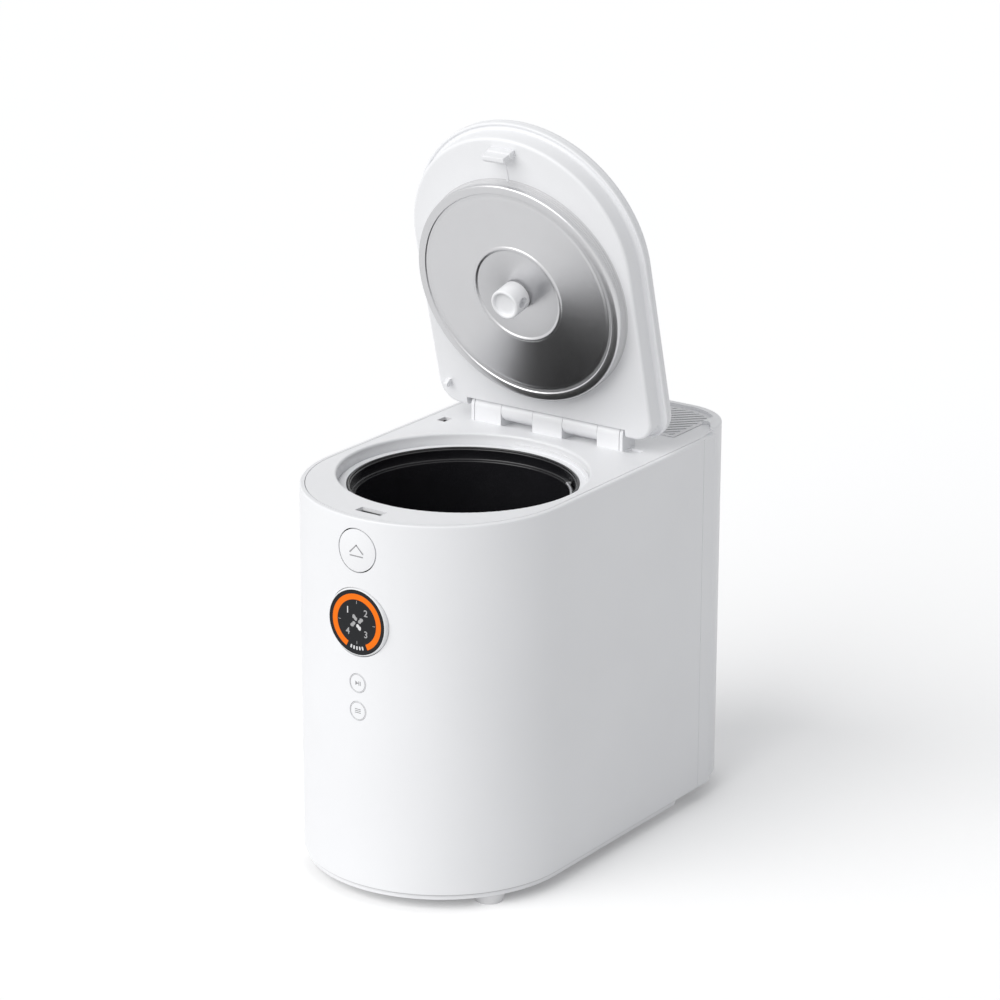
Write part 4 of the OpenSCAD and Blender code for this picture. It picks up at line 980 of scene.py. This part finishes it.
class COMPOSTER_OT_buttons(bpy.types.Operator):
    """Print the signs of the three buttons"""

    bl_idname = "composter.buttons"
    bl_label = "Button signs"

    def execute(self, context):
        film = context.scene.composter_display.film
        arrow = start(
            "arrow", bpy.ops.mesh.primitive_circle_add, vertices=3, radius=2.1 * MM,
            fill_type="NGON", rotation=(0, 0, -RIGHT_ANGLE), location=(-1.1 * MM, 0, 0),
        )
        play = [film_of(arrow, film)]
        play += [bar_sign(0.35 * MM, 1.8 * MM, film, (x * MM, 0)) for x in (1.3, 2.7)]
        mode = [bar_sign(2.9 * MM, 0.32 * MM, film, (0, y * MM)) for y in (-1.5, 0, 1.5)]
        for key, node, strokes in (
            ("play_key", "play_button", play), ("mode_key", "mode_button", mode)
        ):
            low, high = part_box(node)
            ring = ring_sign(7.1 * MM, 7.4 * MM, film)
            sign = join(key + "_sign", ring, *strokes)
            place(sign, facing_front(Vector((0, low.y + PRINT_SINK, (low.z + high.z) / 2))))
            install(sign, key, "grey_plastic", finish("ink"))

        strokes = [bar_sign(6.5 * MM, 0.5 * MM, film, (0, -4.7 * MM))]
        for side in (-1, 1):
            stroke = bar_sign(4.9 * MM, 0.5 * MM, film)
            slope = Matrix.Rotation(-side * math.radians(45), 4, "Z")
            place(stroke, Matrix.Translation((side * 3.1 * MM, 1.2 * MM, 0)) @ slope)
            strokes.append(stroke)
        sign = join("release_sign", *strokes)
        centre_z = (PUSH_LOW.z + PUSH_HIGH.z) / 2
        place(sign, facing_front(Vector((0, PUSH_LOW.y + PRINT_SINK, centre_z))))
        install(sign, "release", "grey_plastic", finish("ink"))
        return {"FINISHED"}


# ------------------------------------------------------------------ stage


class ComposterStage(bpy.types.PropertyGroup):
    lens: FloatProperty(name="Lens", description="Focal length on a 36 mm sensor", default=138.1)
    azimuth: FloatProperty(
        name="Azimuth", description="Angle of the camera round the object from its front",
        subtype="ANGLE", default=math.radians(35.1),
    )
    elevation: FloatProperty(
        name="Elevation", description="Angle of the camera above the floor", subtype="ANGLE",
        default=math.radians(18.63),
    )
    roll: FloatProperty(
        name="Roll", description="Turn of the camera about its own axis", subtype="ANGLE",
        default=math.radians(0.14),
    )
    distance: FloatProperty(
        name="Distance", description="From the camera to the point it looks at", unit="LENGTH",
        default=3.1181,
    )
    aim: FloatVectorProperty(
        name="Aim", description="Point that the camera looks at", subtype="TRANSLATION", size=3,
        default=(0.02894, -0.04461, 0.30592),
    )
    key_azimuth: FloatProperty(
        name="Key azimuth", description="Side that the key light comes from, from the front",
        subtype="ANGLE", default=math.radians(-17),
    )
    key_elevation: FloatProperty(
        name="Key elevation", description="Height of the key light above the floor",
        subtype="ANGLE", default=math.radians(36),
    )
    key_strength: FloatProperty(
        name="Key strength", description="Strength of the key light", default=2.0
    )
    key_size: FloatProperty(
        name="Key size", description="Angle that the key light fills", subtype="ANGLE",
        default=math.radians(60),
    )
    floor_glow: FloatProperty(
        name="Floor glow", description="Light that the floor adds where it is seen directly",
        default=0.12,
    )
    sky: FloatProperty(
        name="Sky", description="Strength of the even light all round", default=0.52
    )


def towards(azimuth, elevation):
    """Unit vector from the object to a place round it."""
    return Vector((
        math.sin(azimuth) * math.cos(elevation),
        -math.cos(azimuth) * math.cos(elevation),
        math.sin(elevation),
    ))


def shader(tree, kind, **inputs):
    """Adds a shader node with these inputs."""
    made = tree.nodes.new(kind)
    for socket, value in inputs.items():
        made.inputs[socket].default_value = value
    return made


def seen_directly(tree):
    """1 for camera, glossy and transmission rays, and 0 for the others."""
    path = tree.nodes.new("ShaderNodeLightPath")
    total = path.outputs["Is Camera Ray"]
    for ray in ("Is Glossy Ray", "Is Transmission Ray"):
        add = tree.nodes.new("ShaderNodeMath")
        add.operation = "MAXIMUM"
        tree.links.new(total, add.inputs[0])
        tree.links.new(path.outputs[ray], add.inputs[1])
        total = add.outputs[0]
    return total


def show_either(tree, lighting, seen, output):
    """Gives the output one shader for rays that light the piece and another where it is seen."""
    mix = tree.nodes.new("ShaderNodeMixShader")
    tree.links.new(seen_directly(tree), mix.inputs[0])
    tree.links.new(lighting.outputs[0], mix.inputs[1])
    tree.links.new(seen.outputs[0], mix.inputs[2])
    tree.links.new(mix.outputs[0], tree.nodes.new(output).inputs[0])


def add_camera(scene, stage):
    back = towards(stage.azimuth, stage.elevation)
    right = Vector((math.cos(stage.azimuth), math.sin(stage.azimuth), 0))
    up = back.cross(right)
    turn_right = right * math.cos(stage.roll) + up * math.sin(stage.roll)
    turn_up = up * math.cos(stage.roll) - right * math.sin(stage.roll)
    bpy.ops.object.camera_add()
    camera = bpy.context.object
    camera.name = "camera"
    camera.data.lens = stage.lens
    camera.data.sensor_width = 36
    camera.data.clip_start, camera.data.clip_end = 0.05, 60
    axes = Matrix((turn_right, turn_up, back)).transposed().to_4x4()
    camera.matrix_world = Matrix.Translation(Vector(stage.aim) + back * stage.distance) @ axes
    scene.camera = camera


def add_key_light(stage):
    bpy.ops.object.light_add(type="SUN")
    key = bpy.context.object
    key.name = "key_light"
    key.data.energy = stage.key_strength
    key.data.angle = stage.key_size
    key.data.color = (1.0, 0.995, 0.985)
    source = towards(stage.key_azimuth, stage.key_elevation)
    key.rotation_euler = source.to_track_quat("Z", "Y").to_euler()


def set_sky(scene, stage):
    """An even, slightly cool light, and white where the sky is seen."""
    scene.world = scene.world or bpy.data.worlds.new("sky")
    scene.world.use_nodes = True
    tree = scene.world.node_tree
    tree.nodes.clear()
    even = shader(tree, "ShaderNodeBackground", Color=(0.97, 0.98, 1.0, 1), Strength=stage.sky)
    white = shader(tree, "ShaderNodeBackground", Color=WHITE, Strength=1.0)
    show_either(tree, even, white, "ShaderNodeOutputWorld")


def add_floor(stage):
    """A pale floor that carries the shadow and melts into the white where it is seen."""
    floor = start("floor", bpy.ops.mesh.primitive_plane_add, size=24, location=(0, 0, 0))
    paint = bpy.data.materials.new("floor_paper")
    paint.use_nodes = True
    tree = paint.node_tree
    tree.nodes.clear()
    paper = shader(tree, "ShaderNodeBsdfDiffuse", Color=(0.82, 0.82, 0.82, 1))
    bright = shader(tree, "ShaderNodeBsdfDiffuse", Color=WHITE)
    glow = shader(tree, "ShaderNodeEmission", Color=WHITE, Strength=stage.floor_glow)
    seen = tree.nodes.new("ShaderNodeAddShader")
    tree.links.new(bright.outputs[0], seen.inputs[0])
    tree.links.new(glow.outputs[0], seen.inputs[1])
    show_either(tree, paper, seen, "ShaderNodeOutputMaterial")
    floor.data.materials.append(paint)


class COMPOSTER_OT_stage(bpy.types.Operator):
    """Set up the camera, the pale floor, the sky and the key light"""

    bl_idname = "composter.stage"
    bl_label = "Stage"

    def execute(self, context):
        stage = context.scene.composter_stage
        clear_selection()
        add_camera(context.scene, stage)
        add_key_light(stage)
        set_sky(context.scene, stage)
        add_floor(stage)
        context.scene.view_settings.view_transform = "Standard"
        return {"FINISHED"}


# ------------------------------------------------------------------ add-on


class COMPOSTER_PT_panel(bpy.types.Panel):
    """The composter's pieces and stage, in the sidebar of the 3D view"""

    bl_idname = "COMPOSTER_PT_panel"
    bl_label = "Composter"
    bl_space_type = "VIEW_3D"
    bl_region_type = "UI"
    bl_category = "Composter"

    def draw(self, context):
        for group in SETTINGS:
            box = self.layout.box()
            for key in getattr(context.scene, group).bl_rna.properties.keys():
                if key not in ("rna_type", "name"):
                    box.prop(getattr(context.scene, group), key)
        for step in STEPS:
            self.layout.operator(step.bl_idname)


SETTINGS = {
    "composter_finishes": ComposterFinishes,
    "composter_lid": ComposterLid,
    "composter_bucket": ComposterBucket,
    "composter_display": ComposterDisplay,
    "composter_stage": ComposterStage,
}
STEPS = (
    COMPOSTER_OT_finish_nodes,
    COMPOSTER_OT_lid_panel,
    COMPOSTER_OT_steel_plate,
    COMPOSTER_OT_knob,
    COMPOSTER_OT_hook,
    COMPOSTER_OT_bucket,
    COMPOSTER_OT_base_shade_strip,
    COMPOSTER_OT_display,
    COMPOSTER_OT_bezel,
    COMPOSTER_OT_release,
    COMPOSTER_OT_release_spring,
    COMPOSTER_OT_buttons,
    COMPOSTER_OT_stage,
)


def register():
    for made in (*SETTINGS.values(), *STEPS, COMPOSTER_PT_panel):
        bpy.utils.register_class(made)
    for name, group in SETTINGS.items():
        setattr(bpy.types.Scene, name, PointerProperty(type=group))


def unregister():
    for name in SETTINGS:
        delattr(bpy.types.Scene, name)
    for made in reversed((*SETTINGS.values(), *STEPS, COMPOSTER_PT_panel)):
        bpy.utils.unregister_class(made)


def main():
    """Registers the add-on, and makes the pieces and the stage."""
    register()
    for step in STEPS:
        group, action = step.bl_idname.split(".")
        getattr(getattr(bpy.ops, group), action)()


if __name__ == "__main__":
    main()
